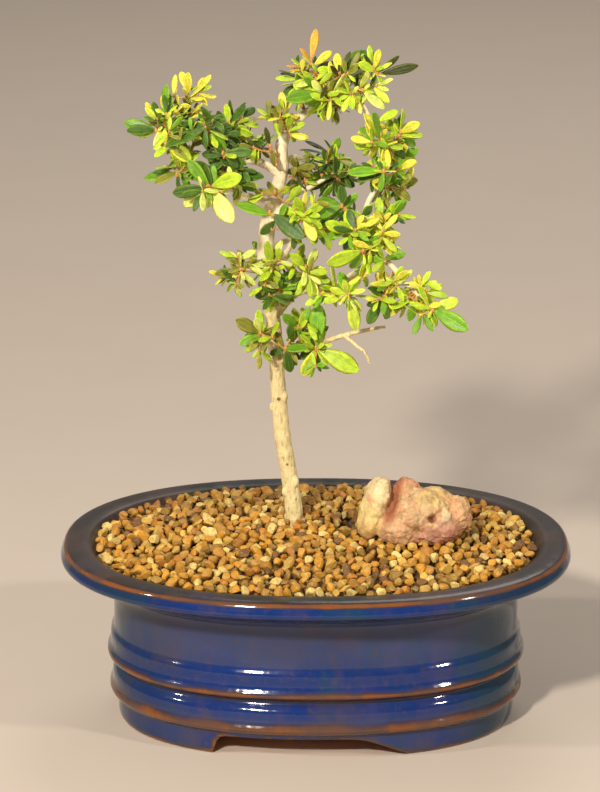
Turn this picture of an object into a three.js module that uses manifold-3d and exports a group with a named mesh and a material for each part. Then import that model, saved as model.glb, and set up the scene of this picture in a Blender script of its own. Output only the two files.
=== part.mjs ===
// A tropical boxwood bonsai in an oval glazed pot, with soil, gravel and a rock.
// Millimetres, +Z up. The origin is under the middle of the pot, on the surface that it stands on.
// +X runs along the pot to the right and -Y to the side that is looked at.

import * as THREE from "three";
import { mergeVertices } from "three/addons/utils/BufferGeometryUtils.js";
import Module from "manifold-3d";

const wasm = await Module();
wasm.setup();

// Pot. An oval is named by its half length; its half width is this much less.
const NARROWER = 22.7;
const NARROWER_FROM = 60;
const OVAL_POWER = 2 / 2.28;
const POT_SIDES = 40;
const RIM = 101.6;
const RIM_TOP = 72.2;
const RIM_INSIDE = 88.8;
const WALL = 81.3;
const WALL_INSIDE = 76.8;
const RIB = 83.2;
const RIB_HEIGHT = 27.3;
const LOWER_RIB = 82.1;
const LOWER_RIB_HEIGHT = 12.7;
const FOOT = 79.5;
const FOOT_INSIDE = 68;
const FOOT_HEIGHT = 8.6;
const FLOOR_TOP = 14;
const ARCH = { left: -41, right: 37, leftSlope: 5, rightSlope: 19, height: 8.2 };
const DRAIN = { at: 38, radius: 6, sides: 16 };
const DRAIN_MESH = { radius: 10.5, sides: 16, thickness: 0.8, hole: 3.6, pitch: 5.6, across: 2 };

// Filling
const CLEARANCE = 0.3;
const SOIL_TOP = 65.9;
const SOIL_BOTTOM = 15.4;
const GRAVEL_BOTTOM = 66.3;
const GRAVEL_EDGE = 70.6;
const GRAVEL_RISE = 4.6;
const GRAVEL_RINGS = 14;
const GRAIN = { up: 2.2, down: 1.5, shift: 0.8 };

// Rock, as lobes: middle, half sizes, turn about the upright axis and lean, in degrees
const ROCK_BASE = 73.4;
const ROCK_BUMP = 0.13;
const ROCK_POCKET = { x: 39.5, y: -4.5, halfLength: 25.5, halfWidth: 15.5, sides: 18 };
const ROCK_LOBES = [
  { at: [24.5, -6, 87], half: [8.2, 9.5, 13.6], turn: 12, lean: 14 },
  { at: [40, -5, 83.5], half: [14.5, 12.5, 12.6], turn: 0, lean: -4 },
  { at: [36, 0, 88], half: [10, 9, 9.5], turn: 20, lean: 0 },
  { at: [54, -4, 84.5], half: [8.6, 9.5, 10.5], turn: -16, lean: -12 },
  { at: [47, -9, 79.5], half: [12, 8.5, 8.5], turn: 8, lean: 0 },
];

// Wood. Each limb has its middle line, its radius where it starts and where it ends.
const LIMB_TAPER = 1.6;
const LIMBS = {
  trunk: {
    line: [
      [-7, 14, 48], [-8.5, 15, 76], [-10.5, 16, 92], [-13.5, 16, 111], [-15, 16, 130],
      [-16, 16, 147], [-17.5, 16, 162], [-19, 15, 175], [-20, 15, 187], [-18.5, 17, 199],
      [-15, 17, 211], [-13.5, 16, 221], [-13.5, 16, 229], [-10, 17, 236], [-3, 18, 242],
      [5, 19, 247], [13, 18, 253], [20, 16, 259],
    ],
    radius: [3.6, 0.9], sides: 7, steps: 28,
  },
  leftHigh: {
    line: [[-14, 16, 217], [-21, 14, 222], [-30, 12, 225], [-37, 9, 229], [-44, 7, 233], [-57, 3, 239]],
    radius: [1.7, 0.8], sides: 5, steps: 8,
  },
  leftLow: {
    line: [[-16, 16.5, 205], [-25, 8, 210], [-33, 0, 215], [-38, -7, 218]],
    radius: [1.3, 0.8], sides: 5, steps: 5,
  },
  arc: {
    line: [[11, 18, 251], [18, 12, 246], [22, 7, 239], [24, 3, 236]],
    radius: [1.1, 0.7], sides: 5, steps: 4,
  },
  centre: {
    line: [[-20, 15, 193], [-11, 14, 207], [0, 13, 214], [5, 13, 217]],
    radius: [1.5, 0.8], sides: 5, steps: 5,
  },
  right: {
    line: [
      [-17, 16, 159], [-8, 9, 171], [2, 4, 174], [12, -1, 179], [21, -4, 188], [21, -2, 196],
      [19, 3, 205], [23, 5, 214], [28, 8, 222], [28, 10, 226],
    ],
    radius: [2, 0.8], sides: 5, steps: 14,
  },
  arm: {
    line: [[21, -4, 188], [28, -9, 188], [34, -14, 182], [40, -18, 177]],
    radius: [1.3, 0.8], sides: 5, steps: 5,
  },
  low: {
    line: [[-15, 16, 140], [-8, 9, 147], [1, 2, 152], [11, -3, 157], [21, -2, 159], [27, 2, 159]],
    radius: [1.4, 0.7], sides: 5, steps: 8,
  },
  curl: {
    line: [[11, -3, 157], [16, -8, 154], [19, -10, 152], [21, -9, 147]],
    radius: [0.8, 0.5], sides: 5, steps: 5,
  },
  stub: {
    line: [[-16, 16, 150], [-23, 11, 154], [-30, 8, 157]],
    radius: [1.4, 0.9], sides: 5, steps: 3,
  },
  leftMid: {
    line: [[-20, 15, 179], [-24, 8, 180], [-28, 3, 182]],
    radius: [1.1, 0.7], sides: 5, steps: 3,
  },
  front: {
    line: [[-18, 15, 171], [-14, 2, 185], [-9, -6, 196], [-6, -10, 205]],
    radius: [1.4, 0.8], sides: 5, steps: 6,
  },
  backHigh: {
    line: [[-14, 16, 221], [-8, 25, 222], [1, 33, 216]],
    radius: [1.4, 0.8], sides: 5, steps: 5,
  },
  backMid: {
    line: [[-20, 15, 185], [-13, 26, 187], [-3, 34, 189]],
    radius: [1.5, 0.8], sides: 5, steps: 5,
  },
  backLeft: {
    line: [[-18, 17, 201], [-25, 26, 203], [-35, 31, 209]],
    radius: [1.4, 0.8], sides: 5, steps: 5,
  },
  backLow: {
    line: [[-17, 16, 164], [-22, 26, 167], [-20, 32, 173]],
    radius: [1.3, 0.8], sides: 5, steps: 5,
  },
};

// Leafy sprays: name, the limb it grows from and how far along, where its tip is, the direction in
// degrees (seen from the front, 0 to the right, 90 up) and length of each leaf that shows there,
// and how many more leaves fill its depth.
const SPRAYS = [
  ["left_tip", "leftHigh", 1, [-62, 2, 238],
    [[165, 13], [172, 11], [200, 9], [197, 14], [262, 8], [-58, 9]], 1],
  ["left_upright", "leftHigh", 0.93, [-59, 10, 244], [[90, 11], [155, 8], [122, 8], [50, 7]], 1],
  ["left_bright", "leftHigh", 0.88, [-58, -11, 236], [[-36, 13], [-62, 9], [232, 8]], 0],
  ["left_low", "leftHigh", 0.775, [-54, -4, 222], [[188, 14], [202, 10], [45, 9], [-50, 8]], 1],
  ["left_rosette", "leftLow", 1, [-42, -12, 219],
    [[192, 14], [221, 13], [-52, 15], [132, 13], [28, 13], [-66, 14], [-15, 7]], 1],
  ["left_tuft", "leftHigh", 0.83, [-50, 16, 251],
    [[116, 8], [93, 9], [50, 8], [14, 11], [215, 6], [-10, 7]], 0],
  ["left_dark", "leftHigh", 0.72, [-49, 20, 240], [[112, 8], [75, 7], [150, 9], [-38, 11], [30, 9]], 1],
  ["left_long", "leftHigh", 0.66, [-42, -3, 241], [[198, 17], [172, 11], [-48, 10], [8, 10]], 1],
  ["left_inner", "leftHigh", 0.52, [-34, 14, 238], [[100, 8], [53, 10], [-12, 9], [128, 9]], 1],
  ["left_gap", "leftHigh", 0.28, [-27, 24, 231], [[75, 8], [-55, 8], [12, 8], [150, 9], [-110, 8]], 1],
  ["left_under", "leftHigh", 0.45, [-36, -6, 231], [[5, 11], [180, 9], [-22, 9], [212, 9]], 0],
  ["left_shade", "leftLow", 0.75, [-30, 4, 219], [[16, 10], [-38, 9], [105, 8], [215, 9]], 0],
  ["left_back", "backLeft", 1, [-40, 36, 213], [[150, 10], [200, 9], [90, 9], [40, 9]], 2],
  ["collar", "trunk", 0.785, [-18, 6, 231], [[102, 8], [-82, 8], [168, 7]], 0],
  ["bud", "trunk", 0.825, [-12, 12, 243], [[104, 8], [72, 8], [135, 7], [20, 6]], 0],
  ["top_low", "trunk", 0.905, [3, 8, 252], [[172, 13], [181, 14], [195, 10], [-55, 6], [30, 6]], 0],
  ["top_left", "trunk", 0.87, [-7, 24, 255], [[146, 9], [172, 9], [214, 8], [95, 9], [30, 8]], 1],
  ["top_crown", "trunk", 0.92, [-2, 20, 262], [[80, 12], [118, 8], [38, 9], [12, 9], [-25, 9], [200, 7]], 1],
  ["top_mid", "trunk", 0.955, [9, 12, 259], [[62, 9], [100, 8], [162, 9], [20, 9], [40, 14]], 1],
  ["top_right", "trunk", 1, [24, 16, 257], [[14, 16], [27, 11], [148, 8], [-52, 9], [75, 8]], 0],
  ["top_under", "trunk", 0.97, [18, 10, 252], [[-30, 10], [195, 8], [65, 8], [-80, 7]], 0],
  ["top_back", "trunk", 0.895, [8, 34, 249], [[60, 9], [130, 9], [190, 9]], 2],
  ["right_yellow", "arc", 1, [25, 0, 234], [[114, 13], [92, 14], [196, 11], [150, 9]], 0],
  ["right_far", "right", 1, [33, 10, 236],
    [[78, 9], [38, 9], [8, 9], [-28, 9], [118, 9], [-68, 9], [160, 7]], 1],
  ["right_pair", "right", 0.93, [26, -10, 225], [[180, 14], [158, 13], [190, 11], [-80, 7]], 0],
  ["right_fan", "right", 0.96, [33, 18, 225], [[-25, 8], [22, 8], [-75, 8], [60, 8]], 1],
  ["right_edge", "right", 0.885, [30, 10, 215], [[8, 10], [-6, 10], [-24, 9], [-105, 8], [65, 7]], 0],
  ["right_green", "right", 0.675, [26, -2, 205], [[28, 11], [-20, 8], [100, 8], [-62, 10], [160, 8]], 0],
  ["centre_dark", "centre", 1, [9, 14, 215], [[150, 9], [25, 9], [85, 10], [-88, 10], [205, 9], [-28, 9]], 1],
  ["centre_thin", "centre", 0.94, [5, 22, 225], [[155, 10], [168, 11], [50, 9], [-32, 10], [95, 6]], 0],
  ["centre_green", "right", 0.72, [10, -2, 209], [[192, 11], [97, 9], [166, 12], [-45, 9], [-95, 9]], 1],
  ["centre_mid", "right", 0.64, [12, -14, 202], [[198, 9], [148, 10], [105, 9], [245, 8], [-15, 7]], 1],
  ["heart", "front", 1, [-5, -10, 208], [[112, 8], [22, 9], [-80, 10], [-32, 9], [165, 8]], 1],
  ["front_long", "front", 0.88, [-18, -8, 208], [[-30, 15], [152, 14], [-12, 12], [228, 9], [70, 8]], 0],
  ["branch_dark", "centre", 0.73, [-4, 16, 217], [[128, 8], [166, 9], [205, 10], [-25, 8]], 0],
  ["neck", "trunk", 0.715, [-16, 4, 213], [[175, 8], [10, 7], [120, 6]], 0],
  ["green_big", "right", 0.57, [18, -16, 195], [[196, 14], [235, 9], [128, 8], [62, 9]], 0],
  ["yellow_post", "right", 0.605, [25, -11, 197], [[95, 12], [68, 9], [-28, 9], [-80, 7]], 0],
  ["mid_left", "leftMid", 1, [-29, 8, 180], [[128, 9], [176, 10], [95, 8], [235, 8]], 1],
  ["trunk_front", "trunk", 0.585, [-17, 0, 186], [[65, 9], [104, 10], [25, 8], [-65, 8], [168, 8]], 0],
  ["mid_dark", "trunk", 0.54, [-14, 2, 174], [[202, 11], [170, 10], [78, 9], [20, 9], [130, 9]], 0],
  ["mid_centre", "right", 0.28, [-4, -4, 185], [[128, 9], [62, 9], [-20, 9], [200, 9], [-70, 8]], 1],
  ["fork_pale", "right", 0.4, [13, -14, 176], [[-76, 14], [-58, 9], [110, 9], [55, 8], [190, 8]], 0],
  ["hang", "arm", 0.5, [26, -12, 174], [[236, 12], [-74, 13], [45, 8], [118, 8]], 1],
  ["arm_tip", "arm", 1, [45, -23, 173], [[14, 11], [-26, 15], [112, 9], [-60, 8]], 0],
  ["arm_mid", "arm", 0.85, [39, -17, 175], [[92, 10], [-105, 9], [-15, 9], [196, 9]], 1],
  ["low_rosette", "low", 0.47, [0, -4, 152],
    [[-24, 18], [250, 14], [180, 12], [88, 17], [138, 8], [216, 9]], 0],
  ["low_dark", "low", 0.19, [-12, 6, 149], [[-80, 11], [125, 9], [200, 7]], 0],
  ["low_green", "low", 0.33, [-7, 2, 159], [[132, 9], [65, 9], [98, 9], [8, 7]], 1],
  ["stub_leaf", "stub", 0.55, [-22, 7, 155], [[142, 11], [204, 9], [236, 9], [95, 9]], 1],
  ["back_high", "backHigh", 1, [7, 40, 211], [[100, 9], [30, 9], [-40, 9]], 2],
  ["back_mid", "backMid", 1, [3, 40, 190], [[110, 9], [20, 9], [-60, 9]], 3],
  ["back_low", "backLow", 1, [-19, 38, 178], [[100, 9], [10, 9], [190, 9]], 2],
];
const TWIG = { start: 0.8, end: 0.6, sides: 3, steps: 2, straight: 2.2, bow: 0.12 };
const LEAF = {
  thickness: 0.65, width: 0.42, fold: 0.22, droop: 0.12, spacing: 2.1, deepest: 0.5,
  tilt: 38, extraTilt: 75, roll: 40, tries: 14,
};
const LEAF_OUTLINE = [[0.4, 0.8], [0.78, 0.96]];
const ROOM = { leaf: 1.15, sameSpray: 0.85, rootShare: 0.15, wood: 0.95, top: 276.5 };
const SEED = 20;

const FINISHES = {
  glaze: { color: 0x27407f, roughness: 0.12, metalness: 0 },
  plastic: { color: 0x20221f, roughness: 0.6, metalness: 0 },
  soil: { color: 0x2e1f14, roughness: 0.95, metalness: 0 },
  gravel: { color: 0xc39a58, roughness: 0.8, metalness: 0 },
  rock: { color: 0xd8b08c, roughness: 0.75, metalness: 0 },
  bark: { color: 0xd9c79a, roughness: 0.8, metalness: 0 },
  leaf: { color: 0x86ab2e, roughness: 0.45, metalness: 0 },
};

// Seeded draws, the same each time
function makeDraws(seed) {
  let state = seed >>> 0;
  return (low, high) => {
    state = (state + 0x6d2b79f5) >>> 0;
    let mixed = Math.imul(state ^ (state >>> 15), 1 | state);
    mixed = (mixed + Math.imul(mixed ^ (mixed >>> 7), 61 | mixed)) ^ mixed;
    const share = ((mixed ^ (mixed >>> 14)) >>> 0) / 4294967296;
    return low + (high - low) * share;
  };
}

// Turns a closed three.js geometry into a solid that can be joined and cut
function toSolid(geometry) {
  const bare = geometry.clone();
  bare.deleteAttribute("normal");
  bare.deleteAttribute("uv");
  const merged = mergeVertices(bare, 1e-4);
  const corners = merged.index.array;
  const kept = [];
  for (let i = 0; i < corners.length; i += 3) {
    const [a, b, c] = [corners[i], corners[i + 1], corners[i + 2]];
    if (a !== b && b !== c && c !== a) {
      kept.push(a, b, c);
    }
  }
  const vertProperties = new Float32Array(merged.attributes.position.array);
  const mesh = new wasm.Mesh({ numProp: 3, vertProperties, triVerts: new Uint32Array(kept) });
  return new wasm.Manifold(mesh);
}

function toGeometry(solid) {
  const mesh = solid.getMesh();
  const geometry = new THREE.BufferGeometry();
  geometry.setAttribute("position", new THREE.BufferAttribute(mesh.vertProperties, 3));
  geometry.setIndex(new THREE.BufferAttribute(mesh.triVerts, 1));
  geometry.computeVertexNormals();
  return geometry;
}

// The solid without the loose scraps that joining can leave
function largestBody(solid) {
  return solid.decompose().reduce((most, body) => (body.volume() > most.volume() ? body : most));
}

function makeMesh(name, solid, finish) {
  const mesh = new THREE.Mesh(toGeometry(solid), new THREE.MeshStandardMaterial(FINISHES[finish]));
  mesh.name = name;
  return mesh;
}

// A point of the oval of this half length, in the direction of the angle
function ovalPoint(halfLength, angle) {
  const halfWidth = halfLength - NARROWER * Math.min(halfLength / NARROWER_FROM, 1);
  const along = Math.cos(angle);
  const across = Math.sin(angle);
  const x = halfLength * Math.sign(along) * Math.abs(along) ** OVAL_POWER;
  const y = halfWidth * Math.sign(across) * Math.abs(across) ** OVAL_POWER;
  return new THREE.Vector2(x, y);
}

// The same on the straight facets that the pot's wall has between its corners
function facetPoint(halfLength, angle) {
  const place = (angle / (2 * Math.PI)) * POT_SIDES;
  const corner = Math.floor(place + 1e-9);
  const turn = (2 * Math.PI) / POT_SIDES;
  const from = ovalPoint(halfLength, corner * turn);
  const to = ovalPoint(halfLength, (corner + 1) * turn);
  return from.lerp(to, Math.max(place - corner, 0));
}

// A turned profile of [half length, height], pressed into ovals
function ovalSolid(profile) {
  const points = profile.map(([halfLength, height]) => new THREE.Vector2(halfLength, height));
  const geometry = new THREE.LatheGeometry(points, POT_SIDES);
  const spot = geometry.attributes.position;
  for (let i = 0; i < spot.count; i += 1) {
    const halfLength = Math.hypot(spot.getX(i), spot.getZ(i));
    const step = Math.round((Math.atan2(spot.getX(i), spot.getZ(i)) / (2 * Math.PI)) * POT_SIDES);
    const flat = ovalPoint(halfLength, (step / POT_SIDES) * 2 * Math.PI);
    spot.setXYZ(i, flat.x, flat.y, spot.getY(i));
  }
  return toSolid(geometry);
}

function polygonShape(radius, sides) {
  const corners = [];
  for (let side = 0; side < sides; side += 1) {
    const angle = (2 * Math.PI * side) / sides;
    corners.push(new THREE.Vector2(radius * Math.cos(angle), radius * Math.sin(angle)));
  }
  return new THREE.Shape(corners);
}

// An upright prism with round or oval ends
function uprightPrism(x, y, halfLength, halfWidth, sides, bottom, top) {
  const geometry = new THREE.CylinderGeometry(1, 1, top - bottom, sides);
  geometry.rotateX(Math.PI / 2);
  geometry.scale(halfLength, halfWidth, 1);
  geometry.translate(x, y, (bottom + top) / 2);
  return toSolid(geometry);
}

// One fired piece: floor, foot ring, two ribs, upright wall and wide flat rim
function makePot() {
  const outside = [
    [0, FOOT_HEIGHT], [FOOT_INSIDE, FOOT_HEIGHT], [FOOT_INSIDE + 2, 0], [FOOT - 1.8, 0],
    [FOOT, 2.4], [FOOT + 0.3, 9.4], [LOWER_RIB, LOWER_RIB_HEIGHT], [LOWER_RIB - 0.8, 20.6],
    [RIB - 2.8, 24.2], [RIB, RIB_HEIGHT], [RIB - 1, 36.2], [WALL, 41], [WALL, 51],
    [WALL + 2, 56.4], [WALL + 8, 61.2], [RIM - 1.4, 65.8], [RIM, 70.8], [RIM - 1, RIM_TOP],
  ];
  const inside = [
    [RIM_INSIDE, RIM_TOP - 0.6], [RIM_INSIDE - 4.3, 66], [WALL_INSIDE + 1.2, 59],
    [WALL_INSIDE, 48], [WALL_INSIDE - 0.6, 20.2], [WALL_INSIDE - 5, FLOOR_TOP], [0, FLOOR_TOP],
  ];
  let pot = ovalSolid([...outside, ...inside]);
  const archShape = new THREE.Shape();
  archShape.moveTo(ARCH.left, -1);
  archShape.lineTo(ARCH.right, -1);
  archShape.lineTo(ARCH.right - ARCH.rightSlope, ARCH.height);
  archShape.lineTo(ARCH.left + ARCH.leftSlope, ARCH.height);
  const arch = new THREE.ExtrudeGeometry(archShape, { depth: 2 * RIM, bevelEnabled: false });
  arch.rotateX(Math.PI / 2);
  arch.translate(0, RIM, 0);
  pot = pot.subtract(toSolid(arch));
  for (const side of [-1, 1]) {
    const hole = uprightPrism(side * DRAIN.at, 0, DRAIN.radius, DRAIN.radius, DRAIN.sides, 0, FLOOR_TOP + 1);
    pot = pot.subtract(hole);
  }
  return makeMesh("pot", pot, "glaze");
}

// A small disc of plastic mesh that keeps the soil from the drainage hole
function makeDrainMesh(name, x) {
  const { radius, sides, thickness, hole, pitch, across } = DRAIN_MESH;
  const bottom = FLOOR_TOP + CLEARANCE;
  let disc = uprightPrism(x, 0, radius, radius, sides, bottom, bottom + thickness);
  const first = (-(across - 1) / 2) * pitch;
  for (let row = 0; row < across; row += 1) {
    for (let column = 0; column < across; column += 1) {
      const opening = new THREE.BoxGeometry(hole, hole, 3 * thickness);
      opening.translate(x + first + column * pitch, first + row * pitch, bottom);
      disc = disc.subtract(toSolid(opening));
    }
  }
  return makeMesh(name, disc, "plastic");
}

// The hole that the foot of the trunk stands in
function trunkHole() {
  const foot = new THREE.Vector3(...LIMBS.trunk.line[0]);
  const neck = new THREE.Vector3(...LIMBS.trunk.line[1]);
  const radius = LIMBS.trunk.radius[0] + 3 * CLEARANCE;
  const length = foot.distanceTo(neck);
  const geometry = new THREE.CylinderGeometry(radius, radius, 2 * length, 10);
  geometry.rotateX(Math.PI / 2);
  const along = neck.clone().sub(foot).normalize();
  geometry.applyQuaternion(new THREE.Quaternion().setFromUnitVectors(new THREE.Vector3(0, 0, 1), along));
  const middle = foot.clone().addScaledVector(along, length - CLEARANCE);
  geometry.translate(middle.x, middle.y, middle.z);
  return toSolid(geometry);
}

function makeSoil() {
  const inner = WALL_INSIDE - 1.5 * CLEARANCE;
  const soil = ovalSolid([
    [0, SOIL_BOTTOM], [inner - 4.8, SOIL_BOTTOM], [inner - 0.6, 20.4], [inner, 48],
    [inner + 1.1, 59.3], [inner + 6.8, SOIL_TOP], [0, SOIL_TOP],
  ]);
  return makeMesh("soil", soil.subtract(trunkHole()), "soil");
}

// Height of the gravel bed over the oval, at this share of the way from its middle to its edge
function gravelLevel(share) {
  return GRAVEL_EDGE + GRAVEL_RISE * (1 - share * share);
}

// A triangle net of rings. Every third corner is the top of a grain and the rest are the gaps.
function gravelTop(draw) {
  const steps = [[1, 0], [0, 1], [-1, 1], [-1, 0], [0, -1], [1, -1]];
  const edge = RIM_INSIDE - 1;
  const corners = [];
  for (let ring = 0; ring <= GRAVEL_RINGS; ring += 1) {
    const count = Math.max(6 * ring, 1);
    for (let i = 0; i < count; i += 1) {
      const sector = ring === 0 ? 0 : Math.floor(i / ring);
      const along = ring === 0 ? 0 : i % ring;
      const next = steps[(sector + 2) % 6];
      const column = steps[sector][0] * ring + next[0] * along;
      const row = steps[sector][1] * ring + next[1] * along;
      const isGrain = (((column - row) % 3) + 3) % 3 === 0;
      const share = ring / GRAVEL_RINGS;
      const flat = facetPoint(edge, (2 * Math.PI * i) / count).multiplyScalar(share);
      const atEdge = ring === GRAVEL_RINGS;
      const lift = isGrain ? draw(0.3, 1) * GRAIN.up : -draw(0.2, 1) * GRAIN.down;
      const shiftX = draw(-1, 1) * GRAIN.shift;
      const shiftY = draw(-1, 1) * GRAIN.shift;
      const x = flat.x + (atEdge ? 0 : shiftX);
      const y = flat.y + (atEdge ? 0 : shiftY);
      corners.push(x, y, gravelLevel(share) + (atEdge ? 0 : lift));
    }
  }
  return corners;
}

function ringStart(ring) {
  return ring === 0 ? 0 : 1 + 3 * ring * (ring - 1);
}

// Grains larger than life, fused into one covering piece with a flat underside
function makeGravel() {
  const draw = makeDraws(SEED);
  const corners = gravelTop(draw);
  const faces = [];
  for (let ring = 1; ring <= GRAVEL_RINGS; ring += 1) {
    const outer = ringStart(ring);
    const inner = ringStart(ring - 1);
    const outerCount = 6 * ring;
    const innerCount = Math.max(6 * (ring - 1), 1);
    for (let i = 0; i < outerCount; i += 1) {
      const sector = Math.floor(i / ring);
      const here = inner + ((i - sector) % innerCount);
      faces.push(outer + i, outer + ((i + 1) % outerCount), here);
      if (i % ring !== 0) {
        faces.push(inner + ((i - sector - 1 + innerCount) % innerCount), outer + i, here);
      }
    }
  }
  const rim = ringStart(GRAVEL_RINGS);
  const count = 6 * GRAVEL_RINGS;
  const under = corners.length / 3;
  const underEdge = RIM_INSIDE - 4.6;
  for (let i = 0; i < count; i += 1) {
    const flat = facetPoint(underEdge, (2 * Math.PI * i) / count);
    corners.push(flat.x, flat.y, GRAVEL_BOTTOM);
  }
  corners.push(0, 0, GRAVEL_BOTTOM);
  for (let i = 0; i < count; i += 1) {
    const next = (i + 1) % count;
    faces.push(rim + i, under + i, under + next);
    faces.push(rim + i, under + next, rim + next);
    faces.push(under + count, under + next, under + i);
  }
  const geometry = new THREE.BufferGeometry();
  geometry.setAttribute("position", new THREE.Float32BufferAttribute(corners, 3));
  geometry.setIndex(faces);
  const pocket = ROCK_POCKET;
  const rockPocket = uprightPrism(
    pocket.x, pocket.y, pocket.halfLength, pocket.halfWidth, pocket.sides,
    ROCK_BASE - CLEARANCE, RIM_TOP + 20,
  );
  const gravel = toSolid(geometry).subtract(rockPocket).subtract(trunkHole());
  return makeMesh("gravel", gravel, "gravel");
}

// A weathered lump with clefts where its lobes meet, flat where it sits in the gravel
function makeRock() {
  const lobes = ROCK_LOBES.map((lobe) => {
    const geometry = new THREE.IcosahedronGeometry(1, 1);
    const spot = geometry.attributes.position;
    for (let i = 0; i < spot.count; i += 1) {
      const [x, y, z] = [spot.getX(i), spot.getY(i), spot.getZ(i)];
      const bump = 1 + ROCK_BUMP * Math.sin(5 * x + 3 * z + lobe.turn) * Math.cos(4 * y - 3 * x);
      spot.setXYZ(i, x * bump, y * bump, z * bump);
    }
    geometry.scale(...lobe.half);
    geometry.rotateY(THREE.MathUtils.degToRad(lobe.lean));
    geometry.rotateZ(THREE.MathUtils.degToRad(lobe.turn));
    geometry.translate(...lobe.at);
    return toSolid(geometry);
  });
  const ground = new THREE.BoxGeometry(4 * RIM, 4 * RIM, ROCK_BASE);
  ground.translate(0, 0, ROCK_BASE / 2);
  const rock = lobes.reduce((joined, lobe) => joined.add(lobe)).subtract(toSolid(ground));
  return makeMesh("rock", rock, "rock");
}

function limbCurve(limb) {
  const points = limb.line.map((point) => new THREE.Vector3(...point));
  return new THREE.CatmullRomCurve3(points, false, "catmullrom");
}

function limbRadius(limb, share) {
  const [start, end] = limb.radius;
  return start + (end - start) * share ** LIMB_TAPER;
}

// A tube along the curve whose radius is a function of how far along it is
function taperedTube(curve, sides, steps, radiusAt) {
  const options = { steps, extrudePath: curve, bevelEnabled: false };
  const geometry = new THREE.ExtrudeGeometry(polygonShape(1, sides), options);
  const middles = curve.getSpacedPoints(steps);
  const spot = geometry.attributes.position;
  const corner = new THREE.Vector3();
  for (let i = 0; i < spot.count; i += 1) {
    corner.fromBufferAttribute(spot, i);
    let nearest = 0;
    for (let step = 1; step <= steps; step += 1) {
      if (corner.distanceTo(middles[step]) < corner.distanceTo(middles[nearest])) {
        nearest = step;
      }
    }
    corner.sub(middles[nearest]).multiplyScalar(radiusAt(nearest / steps)).add(middles[nearest]);
    spot.setXYZ(i, corner.x, corner.y, corner.z);
  }
  return toSolid(geometry);
}

function makeWood() {
  const limbs = Object.values(LIMBS).map((limb) =>
    taperedTube(limbCurve(limb), limb.sides, limb.steps, (share) => limbRadius(limb, share)));
  return makeMesh("wood", limbs.reduce((joined, limb) => joined.add(limb)), "bark");
}

// The twig of a spray leaves its limb squarely and bends up towards its tip
function twigCurve(limbName, at, tip) {
  const limb = LIMBS[limbName];
  const curve = limbCurve(limb);
  const root = curve.getPointAt(at);
  const along = curve.getTangentAt(at);
  const end = new THREE.Vector3(...tip);
  const outward = end.clone().sub(root);
  let clear = CLEARANCE;
  if (at < 1) {
    outward.addScaledVector(along, -outward.dot(along)).normalize();
    clear += limbRadius(limb, at);
  } else {
    outward.copy(along);
  }
  const start = root.clone().addScaledVector(outward, clear);
  const straight = start.clone().addScaledVector(outward, TWIG.straight);
  const middle = straight.clone().lerp(end, 0.5);
  middle.z -= TWIG.bow * straight.distanceTo(end);
  return new THREE.CatmullRomCurve3([start, straight, middle, end], false, "catmullrom");
}

// Distance from a point to the straight piece between two others
function segmentDistance(point, from, to) {
  const piece = to.clone().sub(from);
  const share = THREE.MathUtils.clamp(point.clone().sub(from).dot(piece) / piece.lengthSq(), 0, 1);
  return point.distanceTo(from.clone().addScaledVector(piece, share));
}

// Short straight pieces with a radius, which leaves keep clear of
function woodPieces(curve, steps, radiusAt, owner) {
  const points = curve.getSpacedPoints(steps);
  const pieces = [];
  for (let step = 0; step < steps; step += 1) {
    const radius = radiusAt(step / steps);
    pieces.push({ from: points[step], to: points[step + 1], radius, owner });
  }
  return pieces;
}

// Half width of a leaf as a share of its widest, at a share of its length
function leafBreadth(share) {
  const [[firstAt, firstWide], [secondAt, secondWide]] = LEAF_OUTLINE;
  if (share < firstAt) {
    return (share / firstAt) * firstWide;
  }
  if (share < secondAt) {
    return firstWide + ((share - firstAt) / (secondAt - firstAt)) * (secondWide - firstWide);
  }
  return secondWide * Math.max((1 - share) / (1 - secondAt), 0);
}

// Height of the blade over its own flat plane: folded along the midrib and drooping to the tip
function leafHeight(leaf, along, across) {
  return LEAF.fold * Math.abs(across) - (LEAF.droop * along * along) / leaf.length;
}

function leafPoint(leaf, along, across) {
  return leaf.base.clone()
    .addScaledVector(leaf.along, along)
    .addScaledVector(leaf.side, across)
    .addScaledVector(leaf.up, leafHeight(leaf, along, across));
}

function leafSamples(leaf) {
  const samples = [];
  for (const share of [0.2, 0.36, 0.52, 0.68, 0.84, 1]) {
    const reach = leafBreadth(share) * leaf.halfWidth;
    for (const across of share === 1 ? [0] : [-reach, -reach / 2, 0, reach / 2, reach]) {
      samples.push(leafPoint(leaf, share * leaf.length, across));
    }
  }
  return samples;
}

function insideLeaf(leaf, point, room, from) {
  const offset = point.clone().sub(leaf.base);
  const along = offset.dot(leaf.along);
  const across = offset.dot(leaf.side);
  if (along < from || along > leaf.length + room) {
    return false;
  }
  const share = THREE.MathUtils.clamp(along / leaf.length, 0, 1);
  if (Math.abs(across) > leafBreadth(share) * leaf.halfWidth + room) {
    return false;
  }
  return Math.abs(offset.dot(leaf.up) - leafHeight(leaf, along, across)) < room;
}

// Leaves of one spray may touch only near their roots
function leavesMeet(leaf, other) {
  const sameSpray = leaf.owner === other.owner;
  const room = sameSpray ? ROOM.sameSpray : ROOM.leaf;
  if (leaf.middle.distanceTo(other.middle) > (leaf.length + other.length) / 2 + room) {
    return false;
  }
  const meets = (one, two) => one.samples.some((point) =>
    insideLeaf(two, point, room, sameSpray ? ROOM.rootShare * two.length : -room));
  return meets(leaf, other) || meets(other, leaf);
}

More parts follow.
